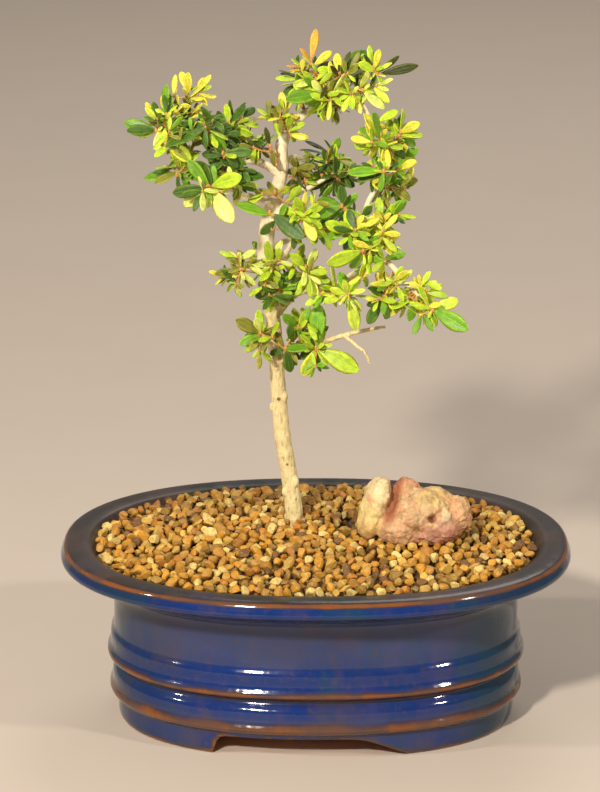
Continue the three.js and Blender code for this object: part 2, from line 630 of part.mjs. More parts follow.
function leafIsClear(leaf, owner, pieces, leaves) {
  for (const point of leaf.samples) {
    if (point.z > ROOM.top) {
      return false;
    }
    for (const piece of pieces) {
      if (piece.owner !== owner
        && segmentDistance(point, piece.from, piece.to) < piece.radius + ROOM.wood) {
        return false;
      }
    }
  }
  return !leaves.some((other) => leavesMeet(leaf, other));
}

// One leaf from its place on the twig. It points as asked, seen from the front, leans towards the
// front or the back, and turns its face up, outwards and a little to the light.
function layLeaf(owner, base, degrees, length, lean, roll) {
  const direction = THREE.MathUtils.degToRad(degrees);
  const depth = THREE.MathUtils.degToRad(lean);
  const along = new THREE.Vector3(
    Math.cos(depth) * Math.cos(direction), -Math.sin(depth), Math.cos(depth) * Math.sin(direction));
  const facing = new THREE.Vector3(base.x + 5, base.y - 16, 0).normalize().multiplyScalar(0.5);
  facing.add(new THREE.Vector3(0, -0.9, 0.75));
  const side = facing.clone().cross(along).normalize();
  side.applyAxisAngle(along, THREE.MathUtils.degToRad(roll));
  const up = along.clone().cross(side);
  const leaf = { owner, base, along, side, up, length, halfWidth: (length * LEAF.width) / 2 };
  leaf.middle = leafPoint(leaf, length / 2, 0);
  leaf.samples = leafSamples(leaf);
  return leaf;
}

// The leaves of one spray, from its tip backwards. A leaf that would touch another spray or the
// wood is laid again with another lean and roll, and left out if it never finds room.
function growLeaves(draw, name, curve, asked, more, pieces, leaves) {
  const twigLength = curve.getLength();
  const joints = curve.getSpacedPoints(TWIG.steps);
  const count = asked.length + more;
  const spacing = Math.min(LEAF.spacing / twigLength, LEAF.deepest / count);
  for (let i = 0; i < count; i += 1) {
    const place = (0.98 - i * spacing) * TWIG.steps;
    const joint = Math.floor(place);
    const base = joints[joint].clone().lerp(joints[joint + 1], place - joint);
    const isExtra = i >= asked.length;
    const degrees = isExtra ? draw(0, 360) : asked[i][0];
    const shown = isExtra ? draw(7, 10) : asked[i][1];
    for (let attempt = 0; attempt < LEAF.tries; attempt += 1) {
      const tilt = isExtra ? LEAF.extraTilt : LEAF.tilt;
      const lean = draw(-tilt, tilt);
      const roll = draw(-LEAF.roll, LEAF.roll);
      const turn = attempt * draw(-1.5, 1.5);
      const stretch = isExtra ? 1 : Math.min(1 / Math.cos(THREE.MathUtils.degToRad(lean)), 1.15);
      const leaf = layLeaf(name, base, degrees + turn, shown * stretch, lean, roll);
      if (leafIsClear(leaf, name, pieces, leaves)) {
        leaves.push(leaf);
        break;
      }
    }
  }
}

// A blade split into triangles alike on both faces, which meet in one point at its root
function leafSolid(leaf) {
  const flat = [...LEAF_OUTLINE, [1, 0], ...LEAF_OUTLINE.toReversed().map(([at, wide]) => [at, -wide])];
  const top = flat.map(([along, wide]) => leafPoint(leaf, along * leaf.length, wide * leaf.halfWidth));
  top.push(leafPoint(leaf, leaf.length / 2, 0));
  const below = leaf.up.clone().multiplyScalar(-LEAF.thickness);
  const corners = [...top, ...top.map((point) => point.clone().add(below)), leaf.base];
  const middle = flat.length;
  const drop = middle + 1;
  const tail = corners.length - 1;
  const faces = [
    middle, 0, tail, middle + drop, tail, drop, tail, 0, drop,
    middle, tail, middle - 1, middle + drop, middle - 1 + drop, tail, middle - 1, tail, middle - 1 + drop,
  ];
  for (let i = 0; i < middle - 1; i += 1) {
    faces.push(middle, i + 1, i, middle + drop, i + drop, i + 1 + drop);
    faces.push(i, i + 1, i + 1 + drop, i, i + 1 + drop, i + drop);
  }
  const geometry = new THREE.BufferGeometry().setFromPoints(corners);
  geometry.setIndex(faces);
  return toSolid(geometry);
}

function twigRadius(share) {
  return TWIG.start + (TWIG.end - TWIG.start) * share;
}

// Every twig is laid before any leaf, so that the leaves can keep clear of all of them
function makeSprays() {
  const draw = makeDraws(SEED + 1);
  const pieces = Object.values(LIMBS).flatMap((limb) =>
    woodPieces(limbCurve(limb), limb.steps, (share) => limbRadius(limb, share), "wood"));
  const curves = SPRAYS.map(([, limb, at, tip]) => twigCurve(limb, at, tip));
  curves.forEach((curve, i) => {
    pieces.push(...woodPieces(curve, TWIG.steps, twigRadius, SPRAYS[i][0]));
  });
  const leaves = [];
  SPRAYS.forEach(([name, , , , asked, more], i) => {
    growLeaves(draw, name, curves[i], asked, more, pieces, leaves);
  });
  return SPRAYS.map(([name], i) => {
    const twig = taperedTube(curves[i], TWIG.sides, TWIG.steps, twigRadius);
    const blades = leaves.filter((leaf) => leaf.owner === name).map(leafSolid);
    const spray = blades.reduce((joined, blade) => joined.add(blade), twig);
    return makeMesh(`spray_${name}`, largestBody(spray), "leaf");
  });
}

const bonsai = new THREE.Group();
bonsai.add(makePot());
bonsai.add(makeDrainMesh("drain_mesh_left", -DRAIN.at));
bonsai.add(makeDrainMesh("drain_mesh_right", DRAIN.at));
bonsai.add(makeSoil());
bonsai.add(makeGravel());
bonsai.add(makeRock());
bonsai.add(makeWood());
bonsai.add(...makeSprays());

export default bonsai;
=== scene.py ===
import math
import random

import bpy
import numpy as np
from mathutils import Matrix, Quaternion, Vector, noise


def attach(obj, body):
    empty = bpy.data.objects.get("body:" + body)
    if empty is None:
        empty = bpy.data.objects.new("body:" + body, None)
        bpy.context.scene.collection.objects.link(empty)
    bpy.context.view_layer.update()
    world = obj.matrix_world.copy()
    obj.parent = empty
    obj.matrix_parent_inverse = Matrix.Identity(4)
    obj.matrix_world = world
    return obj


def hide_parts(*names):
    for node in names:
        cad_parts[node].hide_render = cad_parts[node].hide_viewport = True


# A tropical boxwood bonsai in an oval glazed pot. Sizes below are in mm, the scene is in metres.
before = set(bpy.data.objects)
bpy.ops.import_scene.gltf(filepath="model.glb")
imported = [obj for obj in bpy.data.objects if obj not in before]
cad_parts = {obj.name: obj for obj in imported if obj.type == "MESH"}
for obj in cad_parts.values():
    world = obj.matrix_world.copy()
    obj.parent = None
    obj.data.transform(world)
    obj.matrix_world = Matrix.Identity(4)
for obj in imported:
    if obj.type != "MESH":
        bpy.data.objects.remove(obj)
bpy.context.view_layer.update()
mm = 0.001
print("frame loaded,", len(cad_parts), "nodes")


def linked(name, data):
    made = bpy.data.objects.new(name, data)
    bpy.context.collection.objects.link(made)
    return made


def meshOf(name, vertices, faces):
    mesh = bpy.data.meshes.new(name)
    mesh.from_pydata([tuple(v) for v in np.asarray(vertices, float) * mm], [], [tuple(f) for f in faces])
    return mesh


def makePiece(name, vertices, faces, materials, replaced, smooth=True):
    return finishPiece(name, meshOf(name, vertices, faces), materials, replaced, smooth)


def finishPiece(name, mesh, materials, replaced, smooth=True):
    mesh.name = name
    mesh.materials.clear()
    for material in materials:
        mesh.materials.append(material)
    mesh.polygons.foreach_set("use_smooth", [smooth] * len(mesh.polygons))
    mesh.update()
    piece = linked(name, mesh)
    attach(piece, "root")
    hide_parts(*replaced)
    return piece


def recolor(name, material):
    # a solid of the frame that stays as it is gets its finish
    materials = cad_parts[name].data.materials
    materials.clear()
    materials.append(material)


def shifted(faces, count):
    # the same faces over points that come count places later
    return [tuple(i + count for i in face) for face in faces]


def gathered(parts):
    # the points and faces of many parts as one
    spots, faces, count = [], [], 0
    for more, moreFaces in parts:
        spots.append(more)
        faces += shifted(moreFaces, count)
        count += len(more)
    return np.vstack(spots), faces


def closedFaces(rows, sides):
    # faces over a first point, rows of points around it and a last point
    last = 1 + rows * sides
    faces = []
    for side in range(sides):
        after = (side + 1) % sides
        faces.append((0, 1 + after, 1 + side))
        faces.append((last, last - sides + side, last - sides + after))
        for row in range(rows - 1):
            a, b = 1 + row * sides, 1 + (row + 1) * sides
            faces.append((a + side, a + after, b + after, b + side))
    return faces


def paint(mesh, name, values):
    # one value or one colour for each corner point of the mesh
    values = np.asarray(values, float)
    if values.ndim == 1:
        mesh.attributes.new(name, "FLOAT", "POINT").data.foreach_set("value", values)
        return
    colors = np.ones((len(values), 4))
    colors[:, :3] = values
    mesh.attributes.new(name, "FLOAT_COLOR", "POINT").data.foreach_set("color", colors.ravel())


def applied(mesh, build):
    # the mesh as the modifier that build adds would leave it
    holder = linked("working", mesh)
    build(holder)
    graph = bpy.context.evaluated_depsgraph_get()
    result = bpy.data.meshes.new_from_object(holder.evaluated_get(graph))
    bpy.data.objects.remove(holder)
    return result


def fused(vertices, faces, voxel):
    # overlapping closed lumps grown together into one skin
    def remesh(holder):
        change = holder.modifiers.new("fuse", "REMESH")
        change.mode = "VOXEL"
        change.voxel_size = voxel * mm
    return applied(meshOf("lumps", vertices, faces), remesh)


def corners(mesh):
    spots = np.empty(len(mesh.vertices) * 3)
    mesh.vertices.foreach_get("co", spots)
    return spots.reshape(-1, 3) / mm


def setCorners(mesh, spots):
    mesh.vertices.foreach_set("co", (np.asarray(spots) * mm).ravel())
    mesh.update()


def ball(level):
    # a round ball of triangles with a radius of 1
    g = (1 + 5 ** 0.5) / 2
    spots = [(-1, g, 0), (1, g, 0), (-1, -g, 0), (1, -g, 0), (0, -1, g), (0, 1, g),
             (0, -1, -g), (0, 1, -g), (g, 0, -1), (g, 0, 1), (-g, 0, -1), (-g, 0, 1)]
    faces = [(0, 11, 5), (0, 5, 1), (0, 1, 7), (0, 7, 10), (0, 10, 11), (1, 5, 9), (5, 11, 4), (11, 10, 2),
             (10, 7, 6), (7, 1, 8), (3, 9, 4), (3, 4, 2), (3, 2, 6), (3, 6, 8), (3, 8, 9), (4, 9, 5),
             (2, 4, 11), (6, 2, 10), (8, 6, 7), (9, 8, 1)]
    spots = [np.array(s, float) / np.linalg.norm(s) for s in spots]
    for step in range(level):
        halves = {}

        def half(a, b):
            key = (min(a, b), max(a, b))
            if key not in halves:
                middle = spots[a] + spots[b]
                halves[key] = len(spots)
                spots.append(middle / np.linalg.norm(middle))
            return halves[key]
        faces = [new for a, b, c in faces for new in (
            (a, half(a, b), half(c, a)), (b, half(b, c), half(a, b)),
            (c, half(c, a), half(b, c)), (half(a, b), half(b, c), half(c, a)))]
    return np.array(spots), faces


def turnsOf(sides):
    return np.arange(sides) * 2 * math.pi / sides


def smoothStep(low, high, value):
    share = np.clip((value - low) / (high - low), 0, 1)
    return share * share * (3 - 2 * share)


def linear(color):
    # a colour as seen on a screen, 0 to 255, turned into light
    return [c / 255 / 12.92 if c / 255 <= 0.04045 else ((c / 255 + 0.055) / 1.055) ** 2.4 for c in color]


def newMaterial(name):
    material = bpy.data.materials.new(name)
    material.use_nodes = True
    return material, material.node_tree, material.node_tree.nodes["Principled BSDF"]


def addNode(tree, kind, inputs=None, **settings):
    node = tree.nodes.new(kind)
    for key, value in settings.items():
        setattr(node, key, value)
    for key, value in (inputs or {}).items():
        if isinstance(value, bpy.types.NodeSocket):
            tree.links.new(value, node.inputs[key])
        else:
            node.inputs[key].default_value = value
    return node


def place(tree, scale=(1, 1, 1)):
    where = addNode(tree, "ShaderNodeTexCoord")
    return addNode(tree, "ShaderNodeMapping", {"Vector": where.outputs["Object"], "Scale": scale}).outputs[0]


def cloud(tree, spot, size, detail=3, rough=0.55):
    # soft noise whose blotches are about this many mm across
    return addNode(tree, "ShaderNodeTexNoise", {
        "Vector": spot, "Scale": 1 / (size * mm), "Detail": detail, "Roughness": rough}).outputs["Fac"]


def ramp(tree, value, stops):
    node = addNode(tree, "ShaderNodeValToRGB", {"Fac": value})
    bar = node.color_ramp
    while len(bar.elements) < len(stops):
        bar.elements.new(0.5)
    for element, (at, color) in zip(bar.elements, stops):
        element.position = at
    for element, (at, color) in zip(bar.elements, stops):
        element.color = (*color, 1)
    return node.outputs["Color"]


def level(tree, value, low, high, start=0.0, end=1.0):
    return addNode(tree, "ShaderNodeMapRange", {
        "Value": value, "From Min": low, "From Max": high, "To Min": start, "To Max": end},
        interpolation_type="SMOOTHSTEP").outputs[0]


def sums(tree, kind, first, second=0.0, third=0.0):
    node = addNode(tree, "ShaderNodeMath", {0: first, 1: second, 2: third}, operation=kind)
    return node.outputs[0]


def times(tree, first, second):
    return sums(tree, "MULTIPLY", first, second)


def scaled(tree, value, factor, plus):
    # the value times the factor, with the rest added
    return sums(tree, "MULTIPLY_ADD", value, factor, plus)


def blendColors(tree, share, first, second, way="MIX"):
    node = addNode(tree, "ShaderNodeMix", data_type="RGBA", blend_type=way)
    for index, value in ((0, share), (6, first), (7, second)):
        if isinstance(value, bpy.types.NodeSocket):
            tree.links.new(value, node.inputs[index])
        elif index:
            node.inputs[index].default_value = (*value, 1)
        else:
            node.inputs[index].default_value = value
    return node.outputs[2]


def stain(tree, color, tone, value, limits):
    # turns to the tone as the value goes from low to high, by this share at most
    low, high, most = limits
    return blendColors(tree, level(tree, value, low, high, 0.0, most), color, tone)


def attribute(tree, name, output="Fac"):
    return addNode(tree, "ShaderNodeAttribute", attribute_name=name).outputs[output]


def bump(tree, shader, height, depth, before=None):
    # depth in mm
    inputs = {"Height": height, "Distance": depth * mm, "Strength": 1.0}
    if before:
        inputs["Normal"] = before
    node = addNode(tree, "ShaderNodeBump", inputs)
    tree.links.new(node.outputs[0], shader.inputs["Normal"])
    return node.outputs[0]


def setInputs(shader, values):
    for name, value in values.items():
        shader.inputs[name].default_value = value


def join(tree, value, shader, name):
    tree.links.new(value, shader.inputs[name])


# The pot's profile as half lengths and heights, the arch between its feet, and its drainage holes
pot = {
    "narrower": 22.7, "narrowerFrom": 60, "ovalPower": 2 / 2.28, "sides": 200, "smoothness": 3,
    "underside": [(0, 8.6), (66.5, 8.6), (68.2, 8.1), (69, 6), (69.7, 1.6), (70.6, 0)],
    "outside": [
        (77.7, 0), (78.8, 0.6), (79.4, 2.6), (79.5, 6.4), (79.5, 8.7), (80.1, 9.9), (81.8, 11),
        (82.6, 12.2), (82.7, 13), (82.3, 13.9), (81.75, 15), (81.5, 16.2), (81.5, 18), (81.4, 19.4),
        (80.95, 20.6), (80.1, 21.8), (79.3, 22.9), (79.2, 23.9), (80.3, 25), (82.7, 26), (83.5, 27.1),
        (83.4, 28.1), (82.85, 29.1), (82.3, 30.2), (82.1, 31.4), (82.1, 33), (82.15, 34.8), (81.85, 36),
        (81.25, 37.1), (80.85, 38.3), (80.8, 41), (80.8, 45), (81, 50), (82, 54.2), (84.4, 57.8), (89, 61),
        (95.5, 63.8), (99.4, 65), (101, 65.9), (101.6, 67.1), (101.45, 68.2), (101, 69.3), (100.6, 70.3),
        (100.1, 71.1), (99, 71.8), (97, 72.15), (94, 72.15), (92.2, 72), (90.8, 71.8), (89.7, 71.2),
        (88.9, 70.1),
    ],
    "inside": [
        (86.8, 68.2), (83.8, 64.6), (79.6, 60.2), (77.4, 55), (76.8, 48), (76.7, 34), (76.2, 21.6),
        (74.6, 17), (71, 14.5), (66, 14), (0, 14),
    ],
    "arch": [
        (-41.4, -1), (-40.7, 0.1), (-39.9, 3), (-39, 5.6), (-37.7, 7.4), (-35.6, 8.1), (-30, 8.2), (10, 8.2),
        (15.5, 8.05), (20, 7.2), (25, 5.4), (31, 2.8), (36.4, 0.2), (39, -1),
    ],
    "drainAt": 38, "drainRadius": 6, "drainCut": (8.35, 16), "longest": 101.6, "highest": 72.2,
}
# How much the glaze breaks brown, and how deep its blue is, at each height in mm
glazeBands = [
    (0, 1.0, 0.3), (1.4, 0.7, 0.3), (2.6, 0.15, 0.5), (8, 0.12, 0.5), (9.6, 0.4, 0.2), (11, 0.8, 0.2),
    (12.8, 0.95, 0.2), (14.4, 0.7, 0.3), (16.4, 0.2, 0.5), (20, 0.0, 0.8), (22.6, 0.15, 0.5), (24, 0.5, 0.1),
    (25.4, 0.8, 0.1), (27.4, 0.95, 0.1), (28.8, 0.4, 0.6), (30.4, 0.0, 1.0), (35.5, 0.0, 0.95), (38.5, 0.0, 0.4),
    (44, 0.0, 0.22), (51, 0.05, 0.15), (55, 0.1, 0.1), (59, 0.15, 0.2), (62.5, 0.1, 0.3), (64.5, 0.0, 0.9),
    (68.4, 0.0, 1.0), (69.6, 0.1, 0.8), (70.7, 1.0, 0.3), (74, 1.0, 0.3),
]
glaze = {
    "deep": linear((8, 40, 100)), "grey": linear((46, 57, 94)), "sea": linear((14, 60, 74)),
    "violet": linear((70, 58, 90)), "dun": linear((74, 58, 54)), "top": linear((36, 35, 27)),
    "brown": linear((118, 70, 36)), "dark": linear((58, 42, 36)), "clay": linear((214, 150, 98)),
    "end": linear((20, 34, 48)), "gloss": 0.07, "rimGloss": 0.26, "pores": 0.012,
    "shader": {"Coat Weight": 0.08, "Coat Roughness": 0.05},
    # each tone comes in from the first to the second level of its noise, up to the third as its share
    "deepAt": (0.1, 0.85, 1), "violetAt": (0.48, 0.72, 0.3), "mottleAt": (0.52, 0.72, 0.5),
    "seaAt": (0.52, 0.74, 0.75), "driftAt": (0.5, 0.68, 0.4), "driftOnRim": (0.4, 0.62, 0.55),
    "driftOnBrown": (0.42, 0.6, 0.7), "brownAt": (0.5, 1.05, 1), "breakAt": (0.12, 0.85, 1),
    # painted shade: towards both ends the pot is darkened to the end tone, by the end share below
    "specksAt": (0.62, 0.74, 0.4), "endShadeShare": 0.5, "endOnRim": 0.35,
    # where it changes, in mm: on the flat of the rim, towards the ends of the pot and along the arch
    "rimEdge": (100.4, 99.2), "rimRise": (66, 69.5), "rimFrom": 85, "flatFrom": 94, "flatRise": (71.2, 71.9),
    "lip": (93.5, 91), "lipMore": 0.7, "worn": (95, 99), "wornShare": 0.4, "wall": 0.9, "wallTop": 89.5,
    "ends": (40, 78), "archEdge": (2.2, 0.3), "archShare": 0.9, "archBelow": 9,
    # the clay is bare inside these half lengths and below these heights, and on the wall inside
    "bareUnder": [(77.2, 8.7), (78.4, 0.35)], "bareInside": (12, 62),
}


def ovalPoint(halfLength, angle):
    halfWidth = halfLength - pot["narrower"] * np.minimum(halfLength / pot["narrowerFrom"], 1)
    along, across = np.cos(angle), np.sin(angle)
    x = halfLength * np.sign(along) * np.abs(along) ** pot["ovalPower"]
    y = halfWidth * np.sign(across) * np.abs(across) ** pot["ovalPower"]
    return np.stack([x, y], -1)


def ovalShare(spots, halfLength):
    # 1 on the oval of this half length, less inside it
    halfWidth = halfLength - pot["narrower"] * min(halfLength / pot["narrowerFrom"], 1)
    power = 2 / pot["ovalPower"]
    total = np.abs(spots[:, 0] / halfLength) ** power + np.abs(spots[:, 1] / halfWidth) ** power
    return total ** (1 / power)


def halfLengthAt(spots):
    low, high = np.full(len(spots), 1.0), np.full(len(spots), 110.0)
    power = 2 / pot["ovalPower"]
    for step in range(40):
        middle = (low + high) / 2
        halfWidth = middle - pot["narrower"] * np.minimum(middle / pot["narrowerFrom"], 1)
        outside = np.abs(spots[:, 0] / middle) ** power + np.abs(spots[:, 1] / halfWidth) ** power > 1
        low, high = np.where(outside, middle, low), np.where(outside, high, middle)
    return low


def splineThrough(points, steps):
    points = np.array(points, float)
    found = []
    for i in range(len(points) - 1):
        before = points[i - 1] if i else 2 * points[0] - points[1]
        after = points[i + 2] if i + 2 < len(points) else 2 * points[-1] - points[-2]
        for step in range(steps):
            found.append(betweenPoints(before, points[i], points[i + 1], after, step / steps))
    found.append(points[-1])
    return np.array(found)


def betweenPoints(before, first, second, after, w):
    start, end = (second - before) / 2, (after - first) / 2
    return (first + start * w + (3 * second - 3 * first - 2 * start - end) * w * w
            + (2 * first - 2 * second + start + end) * w ** 3)


def turnedOval(profile, sides):
    # rows of points from a profile of (half length, height) that starts and ends on the axis
    spots = [[(0, 0, profile[0][1])]]
    for halfLength, height in profile[1:-1]:
        flat = ovalPoint(np.float64(halfLength), turnsOf(sides))
        spots.append(np.column_stack([flat, np.full(sides, height)]))
    spots.append([(0, 0, profile[-1][1])])
    return np.vstack(spots), closedFaces(len(profile) - 2, sides)


def prism(outline, axis, start, end):
    # closed prism over an outline in the other two axes
    count = len(outline)
    spots = []
    for at in (start, end):
        for u, v in outline:
            spots.append((u, at, v) if axis == "y" else (u, v, at))
    faces = [tuple(range(count)), tuple(range(2 * count - 1, count - 1, -1))]
    for i in range(count):
        after = (i + 1) % count
        faces.append((i, count + i, count + after, after))
    return spots, [face[::-1] for face in faces]


def cutterMesh():
    parts = [prism(pot["arch"], "y", -110, 110)]
    radius = pot["drainRadius"]
    for side in (-1, 1):
        ring = [(side * pot["drainAt"] + radius * math.cos(t), radius * math.sin(t)) for t in turnsOf(40)]
        parts.append(prism(ring, "z", *pot["drainCut"]))
    return meshOf("cutter", *gathered(parts))


def glazeMaterial():
    material, tree, shader = newMaterial("glaze")
    spot = place(tree)
    streaks = place(tree, (1, 1, 0.35))
    patches = cloud(tree, streaks, 16, 4)
    mottle = cloud(tree, spot, 3.2, 5, 0.72)
    fine = cloud(tree, spot, 1.6, 4, 0.7)
    deep = scaled(tree, patches, 0.9, sums(tree, "SUBTRACT", attribute(tree, "glazeDeep"), 0.42))
    deep = scaled(tree, mottle, 0.5, sums(tree, "SUBTRACT", deep, 0.25))
    color = stain(tree, glaze["grey"], glaze["deep"], deep, glaze["deepAt"])
    color = stain(tree, color, glaze["violet"], cloud(tree, streaks, 11, 4), glaze["violetAt"])
    color = stain(tree, color, glaze["dun"], mottle, glaze["mottleAt"])
    drift = cloud(tree, place(tree, (1, 1, 0.7)), 19, 4, 0.6)
    color = stain(tree, color, glaze["dun"], drift, glaze["driftAt"])
    atEnd = attribute(tree, "glazeEnd")
    seaward = sums(tree, "ADD", cloud(tree, streaks, 26, 3), times(tree, atEnd, 0.16))
    color = stain(tree, color, glaze["sea"], seaward, glaze["seaAt"])
    # painted shade: the pot is darkened towards both ends
    color = blendColors(tree, times(tree, atEnd, glaze["endShadeShare"]), color, glaze["end"])
    onTop = attribute(tree, "glazeTop")
    topShare = times(tree, onTop, level(tree, patches, 0.3, 0.62, 0.7, 1.0))
    rimTone = stain(tree, glaze["top"], glaze["dun"], drift, glaze["driftOnRim"])
    rimTone = blendColors(tree, times(tree, atEnd, glaze["endOnRim"]), rimTone, glaze["dun"])
    color = blendColors(tree, topShare, color, rimTone)
    worn = attribute(tree, "glazeBreak")
    ragged = scaled(tree, fine, 0.12, scaled(tree, patches, 1.2, -0.66))
    broken = sums(tree, "ADD", worn, times(tree, ragged, level(tree, worn, 0.0, 0.3)))
    brown = stain(tree, glaze["dark"], glaze["brown"], broken, glaze["brownAt"])
    brown = stain(tree, brown, glaze["dun"], drift, glaze["driftOnBrown"])
    color = stain(tree, color, brown, broken, glaze["breakAt"])
    color = stain(tree, color, glaze["dark"], cloud(tree, spot, 0.8, 2, 0.6), glaze["specksAt"])
    bare = attribute(tree, "bareClay")
    color = blendColors(tree, bare, color, glaze["clay"])
    join(tree, color, shader, "Base Color")
    rough = scaled(tree, fine, 0.1, glaze["gloss"] - 0.03)
    satin = sums(tree, "MAXIMUM", rough, times(tree, onTop, glaze["rimGloss"]))
    join(tree, sums(tree, "MAXIMUM", satin, times(tree, bare, 0.8)), shader, "Roughness")
    join(tree, level(tree, onTop, 0.0, 1.0, 0.42, 0.2), shader, "Specular IOR Level")
    setInputs(shader, glaze["shader"])
    waves = bump(tree, shader, cloud(tree, spot, 9, 2), 0.25)
    bump(tree, shader, fine, glaze["pores"], waves)
    return material


def makePot():
    profile = np.vstack([
        splineThrough(pot["underside"][1:], pot["smoothness"]),
        splineThrough(pot["outside"], pot["smoothness"]),
        splineThrough(pot["inside"][:-1], pot["smoothness"]),
    ])
    profile[:, 0] = np.minimum(profile[:, 0], pot["longest"])
    profile[:, 1] = np.clip(profile[:, 1], 0, pot["highest"])
    rows = [pot["underside"][0], *profile, pot["inside"][-1]]
    cutter = linked("potCutter", cutterMesh())

    def cut(holder):
        change = holder.modifiers.new("cut", "BOOLEAN")
        change.operation = "DIFFERENCE"
        change.solver = "EXACT"
        change.object = cutter
    mesh = applied(meshOf("potBody", *turnedOval(rows, pot["sides"])), cut)
    bpy.data.objects.remove(cutter)
    spots = corners(mesh)
    halfLength = halfLengthAt(spots)
    height = spots[:, 2]
    heights, breaks, deeps = np.array(glazeBands).T
    onTop = smoothStep(*glaze["rimEdge"], halfLength) * smoothStep(*glaze["rimRise"], height)
    onTop *= halfLength > glaze["rimFrom"]
    onTop *= (np.where(halfLength > glaze["flatFrom"], smoothStep(*glaze["flatRise"], height), 1)
              * (1 + glaze["lipMore"] * smoothStep(*glaze["lip"], halfLength)))
    insideWall = np.array(pot["inside"][::-1])[1:]
    wall = np.interp(height, insideWall[:, 1], insideWall[:, 0], right=glaze["wallTop"]) + glaze["wall"]
    insideFrom, insideTo = glaze["bareInside"]
    inner = (height > insideFrom) & (halfLength < wall)
    breaking = np.interp(height, heights, breaks) * (1 - onTop)
    breaking += onTop * smoothStep(*glaze["worn"], halfLength) * glaze["wornShare"]
    breaking[inner] = 0
    archLine = splineThrough(pot["arch"], 6)
    toArch = np.sqrt(((spots[:, None, [0, 2]] - archLine[None]) ** 2).sum(2)).min(1)
    atArch = smoothStep(*glaze["archEdge"], toArch) * (height < glaze["archBelow"]) * glaze["archShare"]
    breaking = np.maximum(breaking, atArch)
    paint(mesh, "glazeBreak", breaking)
    paint(mesh, "glazeDeep", np.interp(height, heights, deeps))
    paint(mesh, "glazeTop", onTop)
    paint(mesh, "glazeEnd", smoothStep(*glaze["ends"], np.abs(spots[:, 0])))
    bare = inner & (height < insideTo)
    for reach, top in glaze["bareUnder"]:
        bare = bare | ((halfLength < reach) & (height < top))
    paint(mesh, "bareClay", bare)
    finishPiece("glazedPot", mesh, [glazeMaterial()], ["pot"])
    print("pot made,", len(mesh.polygons), "faces")


# What is seen only from below or between the grains: noise levels with their tones, and roughness
soil = {"tones": [(0.3, linear((26, 17, 11))), (0.55, linear((70, 46, 28))), (0.75, linear((110, 78, 50)))],
        "rough": 0.95}
drainMesh = {"tones": [(0.35, linear((22, 24, 22))), (0.7, linear((44, 46, 42)))]}


def plainMaterials():
    material, tree, shader = newMaterial("pottingMix")
    spot = place(tree)
    crumbs = cloud(tree, spot, 2.2, 5, 0.7)
    join(tree, ramp(tree, crumbs, soil["tones"]), shader, "Base Color")
    shader.inputs["Roughness"].default_value = soil["rough"]
    bump(tree, shader, crumbs, 1.2)
    recolor("soil", material)

    material, tree, shader = newMaterial("drainPlastic")
    grain = cloud(tree, place(tree), 0.8, 3)
    join(tree, ramp(tree, grain, drainMesh["tones"]), shader, "Base Color")
    join(tree, scaled(tree, grain, 0.25, 0.4), shader, "Roughness")
    bump(tree, shader, grain, 0.05)
    for side in ("left", "right"):
        recolor("drain_mesh_" + side, material)
    print("soil and drain meshes coloured")


# The gravel's grains in two layers over a bed of fines
gravel = {
    "seed": 7, "edge": 88.0, "level": 70.6, "rise": 4.6, "size": (3.4, 5.3), "closeness": 0.88,
    "lowerDrop": 3.0, "lowerSize": (3.4, 5.0), "backRise": 0.9, "field": (88, 66), "room": 0.42, "misses": 4000,
    "bed": -3.6, "bedTaper": 0.955, "bedBottom": 66.4, "bedTone": linear((58, 40, 24)),
    "trunk": (-8.4, 15, 4.0),  # kept free: middle and radius
    "rock": (39.5, -4.5, 18.5, 8.4), "hollow": (13.2, 9, 4.4, 9.5),  # kept free: middle, half sizes of an oval
    "flatter": [(0.62, 0.9), (0.5, 0.8)], "plump": 0.66, "cuts": 10, "cutAt": (0.52, 0.84), "cutShare": 0.96,
    "uneven": 0.5, "spread": (0.72, 1.08), "lowerShade": 0.6, "backShade": 0.32,
    "blotch": linear((128, 80, 26)), "blotchAt": (0.4, 0.8, 0.6),
    "pale": linear((236, 206, 134)), "paleAt": (0.56, 0.72, 0.35),
    # places darkened as painted shade: middle, half sizes, and how much of the light is left
    "shades": [(13.2, 10, 8, 14, 0.45), (61, -7, 6, 9, 0.55), (-2, 30, 9, 8, 0.7), (40, 22, 30, 9, 0.75)],
    "tones": [
        (linear((212, 168, 72)), 6), (linear((200, 144, 44)), 7), (linear((198, 138, 28)), 5),
        (linear((182, 118, 28)), 4), (linear((230, 200, 116)), 5), (linear((152, 114, 38)), 3),
        (linear((188, 136, 52)), 3), (linear((108, 72, 30)), 2),
    ],
}


def gravelLevel(spots):
    share = np.minimum(ovalShare(spots, gravel["edge"]), 1)
    return gravel["level"] + gravel["rise"] * (1 - share * share)


def scatterGrains(draw, sizes, free):
    # middles and sizes of grains that lie beside each other, outside the ovals left free
    low, cell = sizes
    found, grid, misses = [], {}, 0
    trunkX, trunkY, trunkRoom = gravel["trunk"]
    while misses < gravel["misses"]:
        x, y = (draw.uniform(-reach, reach) for reach in gravel["field"])
        size = draw.uniform(low, cell)
        if ovalShare(np.array([[x, y]]), gravel["edge"] - size * gravel["room"])[0] > 1:
            continue
        if math.hypot(x - trunkX, y - trunkY) < trunkRoom or any(
                ((x - at) / wide) ** 2 + ((y - back) / deep) ** 2 < 1 for at, back, wide, deep in free):
            continue
        key = (int(x // cell), int(y // cell))
        near = [g for i in (-1, 0, 1) for j in (-1, 0, 1) for g in grid.get((key[0] + i, key[1] + j), ())]
        if any(math.hypot(x - g[0], y - g[1]) < (size + g[2]) / 2 * gravel["closeness"] for g in near):
            misses += 1
            continue
        misses = 0
        found.append((x, y, size))
        grid.setdefault(key, []).append((x, y, size))
    return found


